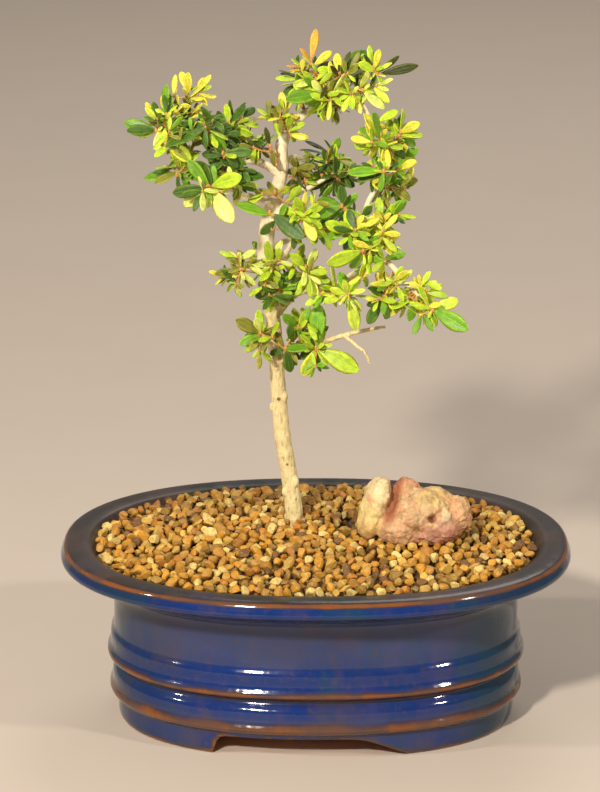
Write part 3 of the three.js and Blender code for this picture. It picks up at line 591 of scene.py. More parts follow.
def grainShape(draw, template, size):
    # an angular pebble: a ball flattened on several sides
    form = np.array([1.0, *(draw.uniform(*flat) for flat in gravel["flatter"])])
    spots = template * form * size * gravel["plump"]
    for cut in range(gravel["cuts"]):
        normal = np.array([draw.gauss(0, 1) for axis in range(3)])
        normal /= np.linalg.norm(normal)
        reach = (spots @ normal).max() * draw.uniform(*gravel["cutAt"])
        over = np.maximum(spots @ normal - reach, 0)
        spots = spots - np.outer(over, normal) * gravel["cutShare"]
    turn = Quaternion((draw.gauss(0, 0.35), draw.gauss(0, 0.35), 1), draw.uniform(0, 6.28)).to_matrix()
    tip = Quaternion((draw.gauss(0, 1), draw.gauss(0, 1), 0), draw.gauss(0, 0.45)).to_matrix()
    return spots @ np.array(turn @ tip).T


def gravelMaterial():
    material, tree, shader = newMaterial("gravel")
    spot = place(tree)
    blotches = cloud(tree, spot, 1.3, 4, 0.65)
    color = attribute(tree, "grainTone", "Color")
    color = stain(tree, color, gravel["blotch"], blotches, gravel["blotchAt"])
    color = stain(tree, color, gravel["pale"], cloud(tree, spot, 0.6, 3, 0.6), gravel["paleAt"])
    join(tree, color, shader, "Base Color")
    join(tree, scaled(tree, blotches, 0.3, 0.42), shader, "Roughness")
    bump(tree, shader, cloud(tree, spot, 0.5, 4, 0.7), 0.18)
    return material


def makeGravel():
    draw = random.Random(gravel["seed"])
    tones = [tone for tone, share in gravel["tones"] for repeat in range(share)]
    material = gravelMaterial()
    template, templateFaces = ball(1)
    layers = [("gravelTop", gravel["size"], 0.0, [gravel["rock"], gravel["hollow"]]),
              ("gravelLower", gravel["lowerSize"], gravel["lowerDrop"], [])]
    for name, sizes, drop, free in layers:
        parts, colors = [], []
        grains = scatterGrains(draw, sizes, free)
        levels = gravelLevel(np.array([(x, y) for x, y, size in grains]))
        for (x, y, size), height in zip(grains, levels):
            shape = grainShape(draw, template, size)
            lift = gravel["backRise"] * smoothStep(20, 50, y)
            height += draw.uniform(-gravel["uneven"], gravel["uneven"]) - drop + lift
            parts.append((shape + (x, y, height), templateFaces))
            # painted shade: grains of the lower layer, grains towards the back and grains in the listed places are
            # darkened; the spread is the grains' own tone
            shade = draw.uniform(*gravel["spread"]) * (gravel["lowerShade"] if drop else 1)
            shade *= 1 - gravel["backShade"] * smoothStep(5, 55, y)
            for at, back, wide, deep, dark in gravel["shades"]:
                shade *= 1 - (1 - dark) * smoothStep(1.3, 0.5, math.hypot((x - at) / wide, (y - back) / deep))
            colors += [np.array(draw.choice(tones)) * shade] * len(template)
        spots, faces = gathered(parts)
        piece = makePiece(name, spots, faces, [material], ["gravel"], smooth=False)
        paint(piece.data, "grainTone", colors)
        print(name, "made,", len(grains), "grains,", len(faces), "faces")
    makeBed(material)


def makeBed(material):
    # the dark fines that fill the deepest gaps
    rings, sides = 30, 120
    spots, faces = [(0, 0, 0)], []
    outline = ovalPoint(np.float64(gravel["edge"] - 0.5), turnsOf(sides))
    for ring in range(1, rings + 1):
        spots += [(x, y, 0) for x, y in outline * (ring / rings)]
    spots = np.array(spots, float)
    spots[:, 2] = gravelLevel(spots[:, :2]) + gravel["bed"]
    spots[:, 2] += [0.8 * noise.noise(Vector(s) * 0.5) for s in spots]
    under = spots.copy()
    under[:, :2] *= gravel["bedTaper"]
    under[:, 2] = gravel["bedBottom"]
    for side in range(sides):
        after = (side + 1) % sides
        faces.append((0, 1 + side, 1 + after))
        for ring in range(rings - 1):
            a, b = 1 + ring * sides, 1 + (ring + 1) * sides
            faces.append((a + side, b + side, b + after, a + after))
    count = len(spots)
    faces += [face[::-1] for face in shifted(faces, count)]
    edge = 1 + (rings - 1) * sides
    for side in range(sides):
        after = (side + 1) % sides
        faces.append((edge + side, edge + side + count, edge + after + count, edge + after))
    piece = makePiece("gravelBed", np.vstack([spots, under]), faces, [material], ["gravel"])
    paint(piece.data, "grainTone", [gravel["bedTone"]] * (2 * count))
    print("gravel bed made")


# The rock, grown from lobes with their middles, half sizes and turns in degrees
rock = {
    "voxel": 0.45, "base": 73.4, "roughness": 1.5, "cracks": 0.25,
    "lobes": [
        {"at": (24.6, -6, 92), "half": (5.4, 7.6, 7.2), "turn": 12, "lean": 14, "tone": linear((234, 208, 156))},
        {"at": (23, -6, 87), "half": (5.3, 8, 8), "turn": 12, "lean": 16, "tone": linear((238, 218, 146))},
        {"at": (21.5, -6, 82), "half": (5, 8.2, 8.6), "turn": 12, "lean": 16, "tone": linear((224, 186, 110))},
        {"at": (40, -5, 83.5), "half": (13.6, 11.6, 11), "turn": 0, "lean": -4, "tone": linear((206, 172, 124))},
        {"at": (36, 0, 88), "half": (8.6, 8, 8.6), "turn": 20, "lean": 0, "tone": linear((214, 150, 104))},
        {"at": (47, -3, 87.6), "half": (8.5, 8, 6.8), "turn": 0, "lean": 12, "tone": linear((220, 190, 120))},
        {"at": (54.5, -4, 82.6), "half": (8, 8.6, 8), "turn": -16, "lean": 8, "tone": linear((226, 176, 122))},
        {"at": (47, -9, 79), "half": (11.6, 8, 7), "turn": 8, "lean": 0, "tone": linear((192, 128, 112))},
        {"at": (44, -8, 90.4), "half": (5.4, 5, 4.4), "turn": 30, "lean": 0, "tone": linear((226, 198, 116))},
        {"at": (48.4, -9.5, 88.4), "half": (4.6, 4.4, 4), "turn": 0, "lean": 20, "tone": linear((230, 198, 126))},
        {"at": (50.2, -12, 84.2), "half": (3.2, 2.8, 4.4), "turn": 0, "lean": 16, "tone": linear((240, 222, 176))},
        {"at": (32.2, -11.6, 79.4), "half": (8.2, 5.8, 7.2), "turn": -10, "lean": 10,
         "tone": linear((216, 168, 122))},
    ],
    "shade": 0.86, "pit": (45.6, -14.6, 85, 3.0), "pitDepth": 1.6,
    "fingerEnds": (29, 26), "fingerCalm": 0.6,  # the finger on the left is smoother
    "gap": (29, 85, 0.3), "gapEdge": (3.8, 0.6), "gapRise": (79, 86), "gapShare": 0.6,  # red, beside the finger
    "seamWidth": 0.12, "seamShare": 0.2, "crackWidth": 0.1, "crackShare": 0.35, "crackSize": 0.13,
    "cleft": linear((156, 94, 58)), "cleftAt": (0, 0.6, 1), "hole": linear((78, 52, 28)), "holeAt": (0.65, 1, 1),
    "red": linear((198, 118, 84)), "redAt": (0.46, 0.66, 0.55),
    "cream": linear((234, 216, 152)), "creamAt": (0.54, 0.68, 0.5),
    "earth": linear((134, 88, 54)), "earthAt": (0.55, 0.7, 0.5),
    "olive": linear((146, 118, 76)), "oliveAt": (0.5, 0.64, 0.6),
}


def rockMaterial():
    material, tree, shader = newMaterial("rock")
    spot = place(tree)
    patches = cloud(tree, spot, 5, 5, 0.65)
    fine = cloud(tree, spot, 0.9, 5, 0.7)
    cleft = attribute(tree, "rockCleft")
    color = attribute(tree, "rockTone", "Color")
    for name, value in (("red", patches), ("cream", cloud(tree, spot, 3.4, 4)), ("earth", fine),
                        ("olive", cloud(tree, place(tree, (1.6, 1, 0.5)), 4.5, 4)),
                        ("cleft", cleft), ("hole", cleft)):
        color = stain(tree, color, rock[name], value, rock[name + "At"])
    join(tree, color, shader, "Base Color")
    join(tree, scaled(tree, fine, 0.3, 0.5), shader, "Roughness")
    rough = bump(tree, shader, patches, 0.7)
    bump(tree, shader, fine, 0.2, rough)
    return material


def makeRock():
    template, templateFaces = ball(4)
    parts, turns = [], []
    for lobe in rock["lobes"]:
        turn = Quaternion((0, 0, 1), math.radians(lobe["turn"]))
        turn = np.array((turn @ Quaternion((0, 1, 0), math.radians(lobe["lean"]))).to_matrix())
        shape = template.copy()
        for i, s in enumerate(template):
            shape[i] *= 1 + 0.10 * noise.noise(Vector(s) * 2.1 + Vector(lobe["at"]))
        parts.append(((shape * lobe["half"]) @ turn.T + lobe["at"], templateFaces))
        turns.append(turn)
    mesh = fused(*gathered(parts), rock["voxel"])
    spots = corners(mesh)
    normals = np.array([v.normal for v in mesh.vertices])
    lift = np.array([
        0.6 * noise.noise(Vector(s) * 0.16) + 0.55 * abs(noise.noise(Vector(s) * 0.34 + Vector((9, 2, 4))))
        + 0.16 * noise.noise(Vector(s) * 0.8) + 0.05 * noise.noise(Vector(s) * 1.9) for s in spots])
    smoother = 1 - rock["fingerCalm"] * smoothStep(*rock["fingerEnds"], spots[:, 0])
    spots = spots + normals * ((lift - 0.35) * rock["roughness"] * smoother)[:, None]
    distance = []
    for lobe, turn in zip(rock["lobes"], turns):
        inLobe = (spots - lobe["at"]) @ turn / lobe["half"]
        distance.append(np.linalg.norm(inLobe, axis=1))
    distance = np.array(distance)
    weight = np.exp(-7 * (distance - distance.min(0)))
    weight /= weight.sum(0)
    tone = weight.T @ np.array([lobe["tone"] for lobe in rock["lobes"]]) * rock["shade"]
    nearest = np.sort(distance, axis=0)
    cleft = np.clip(1 - (nearest[1] - nearest[0]) / rock["seamWidth"], 0, 1)
    cleft = cleft * rock["seamShare"] * (2.5 * smoother - 1.5)
    gaps = [noise.voronoi(Vector(s) * rock["crackSize"] + Vector(
        (noise.noise(Vector(s) * 0.25), noise.noise(Vector(s) * 0.25 + Vector((5, 5, 5))), 0)))[0] for s in spots]
    crack = np.clip(1 - np.array([far[1] - far[0] for far in gaps]) / rock["crackWidth"], 0, 1)
    spots = spots - normals * (crack * rock["cracks"] * smoother)[:, None]
    cleft = np.maximum(cleft, crack * rock["crackShare"] * smoother)
    x, z, slant = rock["gap"]
    redGap = smoothStep(*rock["gapEdge"], np.abs(spots[:, 0] - x - (spots[:, 2] - z) * slant))
    redGap *= smoothStep(*rock["gapRise"], spots[:, 2])
    cleft = np.maximum(cleft, redGap * rock["gapShare"])
    pit = np.array(rock["pit"][:3])
    depth = smoothStep(rock["pit"][3], 0.6, np.linalg.norm(spots - pit, axis=1))
    spots = spots - normals * (depth * rock["pitDepth"])[:, None]
    cleft = np.maximum(cleft, depth)
    spots[:, 2] = np.maximum(spots[:, 2], rock["base"])
    setCorners(mesh, spots)
    paint(mesh, "rockTone", tone)
    paint(mesh, "rockCleft", cleft)
    finishPiece("rockPiece", mesh, [rockMaterial()], ["rock"])
    print("rock made,", len(mesh.polygons), "faces")


# The wood's form, with the middles and radii of its scars and knots
wood = {
    "taper": 1.6, "voxel": 0.36, "sides": 14, "step": 1.2, "bark": 0.16, "uneven": 0.07,
    "fuller": 0.45, "fullerFrom": (0.4, 0.66), "fullerTo": (0.92, 0.8),  # the upper trunk
    "knotSunk": 0.3, "knotForm": (0.95, 0.95, 1.5),
    "scars": [
        ((-14.8, 12.9, 125.8), 1.1), ((-11.4, 12.8, 98.5), 0.8), ((-17, 13, 143), 0.8), ((-7.6, 12, 84), 0.9),
    ],
    "knots": [
        ((-19, 14.8, 121), 1.4), ((-12, 13.9, 127), 1.6), ((-7.2, 12.9, 92), 1.7), ((-13, 13.7, 86), 1.5),
        ((-15.8, 13.2, 139), 1.2), ((-13.8, 14.3, 148), 1.3), ((-20.2, 13.9, 163), 1.4), ((-17, 12.8, 172), 1.3),
        ((-5, 13.7, 74.5), 1.5), ((-11, 15.3, 75), 1.5),
    ],
}
# The middle line of each limb, its radius where it starts and ends, and the steps of its solid
limbs = {
    "trunk": {
        "line": [
            (-7, 14, 48), (-8.5, 15, 76), (-10.5, 16, 92), (-13.5, 16, 111), (-15, 16, 130), (-16, 16, 147),
            (-17.5, 16, 162), (-19, 15, 175), (-20, 15, 187), (-18.5, 17, 199), (-15, 17, 211), (-13.5, 16, 221),
            (-13.5, 16, 229), (-10, 17, 236), (-3, 18, 242), (5, 19, 247), (13, 18, 253), (20, 16, 259),
        ],
        "radius": (3.6, 0.9), "steps": 28,
    },
    "leftHigh": {
        "line": [(-14, 16, 217), (-21, 14, 222), (-30, 12, 225), (-37, 9, 229), (-44, 7, 233), (-57, 3, 239)],
        "radius": (1.7, 0.8), "steps": 8,
    },
    "leftLow": {
        "line": [(-16, 16.5, 205), (-25, 8, 210), (-33, 0, 215), (-38, -7, 218)],
        "radius": (1.3, 0.8), "steps": 5,
    },
    "arc": {"line": [(11, 18, 251), (18, 12, 246), (22, 7, 239), (24, 3, 236)], "radius": (1.1, 0.7), "steps": 4},
    "centre": {
        "line": [(-20, 15, 193), (-11, 14, 207), (0, 13, 214), (5, 13, 217)],
        "radius": (1.5, 0.8), "steps": 5,
    },
    "right": {
        "line": [
            (-17, 16, 159), (-8, 9, 171), (2, 4, 174), (12, -1, 179), (21, -4, 188), (21, -2, 196),
            (19, 3, 205), (23, 5, 214), (28, 8, 222), (28, 10, 226),
        ],
        "radius": (2, 0.8), "steps": 14,
    },
    "arm": {
        "line": [(21, -4, 188), (28, -9, 188), (34, -14, 182), (40, -18, 177)],
        "radius": (1.3, 0.8), "steps": 5,
    },
    "low": {
        "line": [(-15, 16, 140), (-8, 9, 147), (1, 2, 152), (11, -3, 157), (21, -2, 159), (27, 2, 159)],
        "radius": (1.4, 0.7), "steps": 8,
    },
    "curl": {
        "line": [(11, -3, 157), (16, -8, 154), (19, -10, 152), (21, -9, 147)],
        "radius": (0.8, 0.5), "steps": 5,
    },
    "stub": {"line": [(-16, 16, 150), (-23, 11, 154), (-30, 8, 157)], "radius": (1.4, 0.9), "steps": 3},
    "leftMid": {"line": [(-20, 15, 179), (-24, 8, 180), (-28, 3, 182)], "radius": (1.1, 0.7), "steps": 3},
    "front": {
        "line": [(-18, 15, 171), (-14, 2, 185), (-9, -6, 196), (-6, -10, 205)],
        "radius": (1.4, 0.8), "steps": 6,
    },
    "backHigh": {"line": [(-14, 16, 221), (-8, 25, 222), (1, 33, 216)], "radius": (1.4, 0.8), "steps": 5},
    "backMid": {"line": [(-20, 15, 185), (-13, 26, 187), (-3, 34, 189)], "radius": (1.5, 0.8), "steps": 5},
    "backLeft": {"line": [(-18, 17, 201), (-25, 26, 203), (-35, 31, 209)], "radius": (1.4, 0.8), "steps": 5},
    "backLow": {"line": [(-17, 16, 164), (-22, 26, 167), (-20, 32, 173)], "radius": (1.3, 0.8), "steps": 5},
}


class Curve:
    # a smooth line through points, measured along its length
    def __init__(self, line):
        self.line = np.array(line, float)
        marks = np.array([self.pointAt(i / 200) for i in range(201)])
        self.lengths = np.concatenate([[0], np.cumsum(np.linalg.norm(np.diff(marks, axis=0), axis=1))])
        self.length = self.lengths[-1]

    def pointAt(self, t):
        spot = (len(self.line) - 1) * t
        i = int(math.floor(spot))
        w = spot - i
        if w == 0 and i == len(self.line) - 1:
            i, w = len(self.line) - 2, 1
        points = self.line
        before = points[i - 1] if i else 2 * points[0] - points[1]
        after = points[i + 2] if i + 2 < len(points) else 2 * points[-1] - points[-2]
        return betweenPoints(before, points[i], points[i + 1], after, w)

    def placeOf(self, share):
        target = share * self.length
        i = min(int(np.searchsorted(self.lengths, target, side="right")) - 1, 200)
        if i >= 200 or self.lengths[i] == target:
            return i / 200
        return (i + (target - self.lengths[i]) / (self.lengths[i + 1] - self.lengths[i])) / 200

    def along(self, share):
        return self.pointAt(self.placeOf(share))

    def direction(self, share):
        t = self.placeOf(share)
        ahead = self.pointAt(min(t + 0.0001, 1)) - self.pointAt(max(t - 0.0001, 0))
        return ahead / np.linalg.norm(ahead)

    def spaced(self, steps):
        return np.array([self.along(i / steps) for i in range(steps + 1)])


def limbRadius(limb, share):
    start, end = limb["radius"]
    return start + (end - start) * share ** wood["taper"]


def tube(points, radii, sides):
    # a closed tube along points, with rounded ends
    points = np.array(points, float)
    ahead = np.gradient(points, axis=0)
    ahead /= np.linalg.norm(ahead, axis=1)[:, None]
    side = np.cross(ahead[0], (0.3, 0.9, 0.2))
    spots = [points[0] - ahead[0] * radii[0] * 0.5]
    turns = turnsOf(sides)
    for point, forward, radius in zip(points, ahead, radii):
        side = side - forward * (side @ forward)
        side /= np.linalg.norm(side)
        other = np.cross(forward, side)
        spots += list(point + radius * (np.outer(np.cos(turns), side) + np.outer(np.sin(turns), other)))
    spots.append(points[-1] + ahead[-1] * radii[-1] * 0.6)
    return np.array(spots), closedFaces(len(points), sides)


# Levels as those of the glaze, but for the young bark, which begins between two heights in metres; its pale tone
# is partly painted light on the upper trunk and limbs
bark = {
    "grainAt": (0.28, 0.46, 0.8), "greenAt": (0.5, 0.72, 0.5), "youngAndLitAt": (0.16, 0.2, 0.75),
    "specksAt": (0.62, 0.72, 0.6),
    "bark": {"pale": linear((216, 196, 142)), "dark": linear((146, 114, 68)), "green": linear((188, 176, 112)),
             "young": linear((242, 226, 192))},
    "twigBark": {"pale": linear((200, 142, 76)), "dark": linear((140, 78, 38)), "green": linear((176, 160, 70))},
}


def barkMaterial(name):
    tones = bark[name]
    pale, dark = tones["pale"], tones["dark"]
    material, tree, shader = newMaterial(name)
    spot = place(tree)
    grain = cloud(tree, place(tree, (1, 1, 0.22)), 0.9, 5, 0.65)
    patches = cloud(tree, place(tree, (1, 1, 0.6)), 6, 4)
    color = ramp(tree, grain, list(zip(bark["grainAt"], (dark, pale, [min(c * 1.12, 1) for c in pale]))))
    color = stain(tree, color, tones["green"], patches, bark["greenAt"])
    if "young" in tones:
        height = addNode(tree, "ShaderNodeSeparateXYZ", {0: spot}).outputs["Z"]
        # young bark and painted light: the wood turns paler above these heights
        color = stain(tree, color, tones["young"], height, bark["youngAndLitAt"])
        color = blendColors(tree, attribute(tree, "barkScar"), color, [c * 0.5 for c in dark])
    color = stain(tree, color, dark, cloud(tree, spot, 0.8, 3), bark["specksAt"])
    join(tree, color, shader, "Base Color")
    join(tree, scaled(tree, grain, 0.25, 0.5), shader, "Roughness")
    ridges = bump(tree, shader, grain, 0.3)
    bump(tree, shader, cloud(tree, spot, 2.2, 3), 0.35, ridges)
    return material


def makeWood():
    parts = []
    template, templateFaces = ball(2)
    for name, limb in limbs.items():
        curve = Curve(limb["line"])
        steps = max(int(curve.length / wood["step"]), 6)
        shares = np.arange(steps + 1) / steps
        radii = []
        for share in shares:
            swell = 1 + wood["uneven"] * noise.noise(Vector((share * curve.length * 0.3, len(name), 0)))
            if name == "trunk":
                swell *= (1 + wood["fuller"] * smoothStep(*wood["fullerFrom"], share)
                          * smoothStep(*wood["fullerTo"], share))
            else:
                swell *= 1 - 0.08 * share
            radii.append(limbRadius(limb, share) * swell)
        parts.append(tube(curve.spaced(steps), radii, wood["sides"]))
    middles = Curve(limbs["trunk"]["line"]).spaced(160)
    for at, radius in wood["knots"]:
        # sunk into the trunk, so that only a swelling shows
        near = np.linalg.norm(middles - at, axis=1).argmin()
        outward = unit(middles[near] * (-1, -1, 0) + (at[0], at[1], 0))
        spot = middles[near] + outward * (limbRadius(limbs["trunk"], near / 160) - radius * wood["knotSunk"])
        parts.append((template * radius * wood["knotForm"] + spot, templateFaces))
    mesh = fused(*gathered(parts), wood["voxel"])
    spots = corners(mesh)
    normals = np.array([v.normal for v in mesh.vertices])
    lift = np.array([noise.noise(Vector((s[0] * 0.9, s[1] * 0.9, s[2] * 0.22)))
                     + 0.6 * noise.noise(Vector((s[0] * 2.2, s[1] * 2.2, s[2] * 0.6))) for s in spots])
    setCorners(mesh, spots + normals * (lift * wood["bark"])[:, None])
    scars = [smoothStep(size, size * 0.4, np.linalg.norm(spots - at, axis=1)) for at, size in wood["scars"]]
    paint(mesh, "barkScar", np.max(scars, axis=0))
    finishPiece("treeWood", mesh, [barkMaterial("bark")], ["wood"])
    print("wood made,", len(mesh.polygons), "faces")


# Leafy sprays: the limb each grows from and how far along, its tip, the direction in degrees and the length
# of each leaf that shows from the front, how many more leaves fill its depth, and a tone letter a leaf
sprays = {
    "left_tip": ("leftHigh", 1, (-62, 2, 238),
                 [(165, 13), (172, 11), (200, 9), (197, 14), (262, 8), (-58, 9)], 1, "mdblpd"),
    "left_upright": ("leftHigh", 0.93, (-59, 10, 244), [(90, 11), (155, 8), (122, 8), (50, 7)], 1, "mpgp"),
    "left_bright": ("leftHigh", 0.88, (-58, -11, 236), [(-36, 13), (-62, 9), (232, 8)], 0, "lbm"),
    "left_low": ("leftHigh", 0.775, (-54, -4, 222), [(188, 14), (202, 10), (45, 9), (-50, 8)], 1, "mobm"),
    "left_rosette": ("leftLow", 1, (-42, -12, 219),
                     [(192, 14), (221, 13), (-52, 15), (132, 13), (28, 13), (-66, 14), (-15, 7)], 1, "dppmbdp"),
    "left_tuft": ("leftHigh", 0.83, (-50, 16, 251),
                  [(116, 8), (93, 9), (50, 8), (14, 11), (215, 6), (-10, 7)], 0, "gggggg"),
    "left_dark": ("leftHigh", 0.72, (-49, 20, 240), [(112, 8), (75, 7), (150, 9), (-38, 11), (30, 9)], 1, "kdkmd"),
    "left_long": ("leftHigh", 0.66, (-42, -3, 241), [(198, 17), (172, 11), (-48, 10), (8, 10)], 1, "ddmd"),
    "left_inner": ("leftHigh", 0.52, (-34, 14, 238), [(100, 8), (53, 10), (-12, 9), (128, 9)], 1, "bdbd"),
    "left_gap": ("leftHigh", 0.28, (-27, 24, 231), [(75, 8), (-55, 8), (12, 8), (150, 9), (-110, 8)], 1, "kdpbk"),
    "left_under": ("leftHigh", 0.45, (-36, -6, 231), [(5, 11), (180, 9), (-22, 9), (212, 9)], 0, "ddmd"),
    "left_shade": ("leftLow", 0.75, (-30, 4, 219), [(16, 10), (-38, 9), (105, 8), (215, 9)], 0, "ddod"),
    "left_back": ("backLeft", 1, (-40, 36, 213), [(150, 10), (200, 9), (90, 9), (40, 9)], 2, "mbdm"),
    "collar": ("trunk", 0.785, (-18, 6, 231), [(102, 8), (-82, 8), (168, 7)], 0, "kok"),
    "bud": ("trunk", 0.825, (-12, 12, 243), [(104, 8), (72, 8), (135, 7), (20, 6)], 0, "ggog"),
    "top_low": ("trunk", 0.905, (3, 8, 252), [(172, 13), (181, 14), (195, 10), (-55, 6), (30, 6)], 0, "bmpgb"),
    "top_left": ("trunk", 0.87, (-7, 24, 255), [(146, 9), (172, 9), (214, 8), (95, 9), (30, 8)], 1, "kbdbg"),
    "top_crown": ("trunk", 0.92, (-2, 20, 262),
                  [(80, 12), (118, 8), (38, 9), (12, 9), (-25, 9), (200, 7)], 1, "rrgkdb"),
    "top_mid": ("trunk", 0.955, (9, 12, 259), [(62, 9), (100, 8), (162, 9), (20, 9), (40, 14)], 1, "kgbkd"),
    "top_right": ("trunk", 1, (24, 16, 257), [(14, 16), (27, 11), (148, 8), (-52, 9), (75, 8)], 0, "kkbbg"),
    "top_under": ("trunk", 0.97, (18, 10, 252), [(-30, 10), (195, 8), (65, 8), (-80, 7)], 0, "pbpb"),
    "top_back": ("trunk", 0.895, (8, 34, 249), [(60, 9), (130, 9), (190, 9)], 2, "mbm"),
    "right_yellow": ("arc", 1, (25, 0, 234), [(114, 13), (92, 14), (196, 11), (150, 9)], 0, "gmbb"),
    "right_far": ("right", 1, (33, 10, 236),
                  [(78, 9), (38, 9), (8, 9), (-28, 9), (118, 9), (-68, 9), (160, 7)], 1, "bgbmbdg"),
    "right_pair": ("right", 0.93, (26, -10, 225), [(180, 14), (158, 13), (190, 11), (-80, 7)], 0, "mmdb"),
    "right_fan": ("right", 0.96, (33, 18, 225), [(-25, 8), (22, 8), (-75, 8), (60, 8)], 1, "bmbg"),
    "right_edge": ("right", 0.885, (30, 10, 215), [(8, 10), (-6, 10), (-24, 9), (-105, 8), (65, 7)], 0, "omopm"),
    "right_green": ("right", 0.675, (26, -2, 205),
                    [(28, 11), (-20, 8), (100, 8), (-62, 10), (160, 8)], 0, "mtbdm"),
    "centre_dark": ("centre", 1, (9, 14, 215),
                    [(150, 9), (25, 9), (85, 10), (-88, 10), (205, 9), (-28, 9)], 1, "dkmdkd"),
    "centre_thin": ("centre", 0.94, (5, 22, 225), [(155, 10), (168, 11), (50, 9), (-32, 10), (95, 6)], 0, "ktmkd"),
    "centre_green": ("right", 0.72, (10, -2, 209),
                     [(192, 11), (97, 9), (166, 12), (-45, 9), (-95, 9)], 1, "mdmbd"),
    "centre_mid": ("right", 0.64, (12, -14, 202), [(198, 9), (148, 10), (105, 9), (245, 8), (-15, 7)], 1, "mbbdm"),
    "heart": ("front", 1, (-5, -10, 208), [(112, 8), (22, 9), (-80, 10), (-32, 9), (165, 8)], 1, "bbgbb"),
    "front_long": ("front", 0.88, (-18, -8, 208),
                   [(-30, 15), (152, 14), (-12, 12), (228, 9), (70, 8)], 0, "dmbdm"),
    "branch_dark": ("centre", 0.73, (-4, 16, 217), [(128, 8), (166, 9), (205, 10), (-25, 8)], 0, "kdok"),
    "neck": ("trunk", 0.715, (-16, 4, 213), [(175, 8), (10, 7), (120, 6)], 0, "obo"),
    "green_big": ("right", 0.57, (18, -16, 195), [(196, 14), (235, 9), (128, 8), (62, 9)], 0, "bmbm"),
    "yellow_post": ("right", 0.605, (25, -11, 197), [(95, 12), (68, 9), (-28, 9), (-80, 7)], 0, "gbgb"),
    "mid_left": ("leftMid", 1, (-29, 8, 180), [(128, 9), (176, 10), (95, 8), (235, 8)], 1, "pogo"),
    "trunk_front": ("trunk", 0.585, (-17, 0, 186), [(65, 9), (104, 10), (25, 8), (-65, 8), (168, 8)], 0, "pbpbp"),
    "mid_dark": ("trunk", 0.54, (-14, 2, 174), [(202, 11), (170, 10), (78, 9), (20, 9), (130, 9)], 0, "dombd"),
    "mid_centre": ("right", 0.28, (-4, -4, 185), [(128, 9), (62, 9), (-20, 9), (200, 9), (-70, 8)], 1, "bpbdl"),
    "fork_pale": ("right", 0.4, (13, -14, 176), [(-76, 14), (-58, 9), (110, 9), (55, 8), (190, 8)], 0, "lpmbl"),
    "hang": ("arm", 0.5, (26, -12, 174), [(236, 12), (-74, 13), (45, 8), (118, 8)], 1, "dmbg"),
    "arm_tip": ("arm", 1, (45, -23, 173), [(14, 11), (-26, 15), (112, 9), (-60, 8)], 0, "lmbb"),
    "arm_mid": ("arm", 0.85, (39, -17, 175), [(92, 10), (-105, 9), (-15, 9), (196, 9)], 1, "bmgb"),
    "low_rosette": ("low", 0.47, (0, -4, 152),
                    [(-24, 18), (250, 14), (180, 12), (88, 17), (138, 8), (216, 9)], 0, "blmmbd"),
    "low_dark": ("low", 0.19, (-12, 6, 149), [(-80, 11), (125, 9), (200, 7)], 0, "dod"),
    "low_green": ("low", 0.33, (-7, 2, 159), [(132, 9), (65, 9), (98, 9), (8, 7)], 1, "mmbb"),
    "stub_leaf": ("stub", 0.55, (-22, 7, 155), [(142, 11), (204, 9), (236, 9), (95, 9)], 1, "ompb"),
    "back_high": ("backHigh", 1, (7, 40, 211), [(100, 9), (30, 9), (-40, 9)], 2, "mbm"),
    "back_mid": ("backMid", 1, (3, 40, 190), [(110, 9), (20, 9), (-60, 9)], 3, "mdb"),
    "back_low": ("backLow", 1, (-19, 38, 178), [(100, 9), (10, 9), (190, 9)], 2, "mbm"),
}
# The first radius is the solid's, thinner is what shows
twig = {
    "radius": (0.8, 0.6), "thinner": (0.72, 0.38), "steps": 2, "straight": 2.2, "bow": 0.12, "clearance": 0.3,
    "fineSteps": 14, "sides": 9, "sunk": 1.2, "budsAt": (0.93, 0.85, 0.74, 0.6), "budsOff": 0.6,
    "tone": (0.5, 0.3, 0.1),
}
leaf = {
    "width": 0.42, "fold": 0.22, "droop": 0.12, "spacing": 2.1, "deepest": 0.5,
    "tilt": 38, "extraTilt": 75, "roll": 40, "tries": 14, "outline": [(0.4, 0.8), (0.78, 0.96)],
    "room": 1.15, "roomSameSpray": 0.85, "rootShare": 0.15, "roomWood": 0.95, "top": 276.5, "seed": 21,
    "thickness": 0.3, "rows": 12, "columns": 7, "curl": 0.14, "wave": 0.3, "stalk": 0.34,
    "slim": ((0.92, 1.04), (0.66, 0.98)), "narrower": 0.6, "narrowTones": "kr", "spread": (0.8, 1.2),
    "light": (1.5, 1.35, 1.2), "vein": (2.4, 1.9, 1.6), "veinTint": (0.52, 0.6, 0.06),
    "stalkTone": (0.55, 0.34, 0.1), "underTone": (0.45, 0.55, 0.2), "underShare": 0.45,
    "lightAt": (0.35, 0.7, 1), "rimAt": (0.4, 0.95, 0.6), "stalkAt": (0.16, 0.03, 1),
    "shader": {"Specular IOR Level": 0.32, "Subsurface Weight": 0.25, "Subsurface Radius": (0.5, 1.0, 0.2),
               "Subsurface Scale": 0.0008},
}
smallLeaves = {
    "seed": 5, "onTwig": 14, "length": (4, 9.2), "room": 0.25, "tries": 12, "top": 272.2, "farOut": (0.25, 1.0),
    "sideTwigs": 3, "onSideTwig": 6, "sideLength": (5, 9), "sideRadius": (0.4, 0.25),
    "sideFrom": (0.3, 0.9), "sideReach": (0.55, 1.0), "sideBend": -0.6, "lean": 60, "roll": 50,
    "rows": 8, "columns": 5,
    # none before these parts of the trunk: left, right, low and high, in front of this y
    "bareStems": [(-23, -9, 196, 238), (-19.5, -11, 124, 157)], "bareFront": 16,
    "fuller": {"mid_centre": 8, "fork_pale": 6, "mid_dark": 5, "centre_mid": 5, "trunk_front": 5, "hang": 4,
               "back_high": 6, "back_mid": 7, "back_low": 6, "left_back": 4},
    "moreTones": [(-25, "bdo"), (12, "bbo"), (999, "blg")],  # for twigs whose tip is left of this x
}
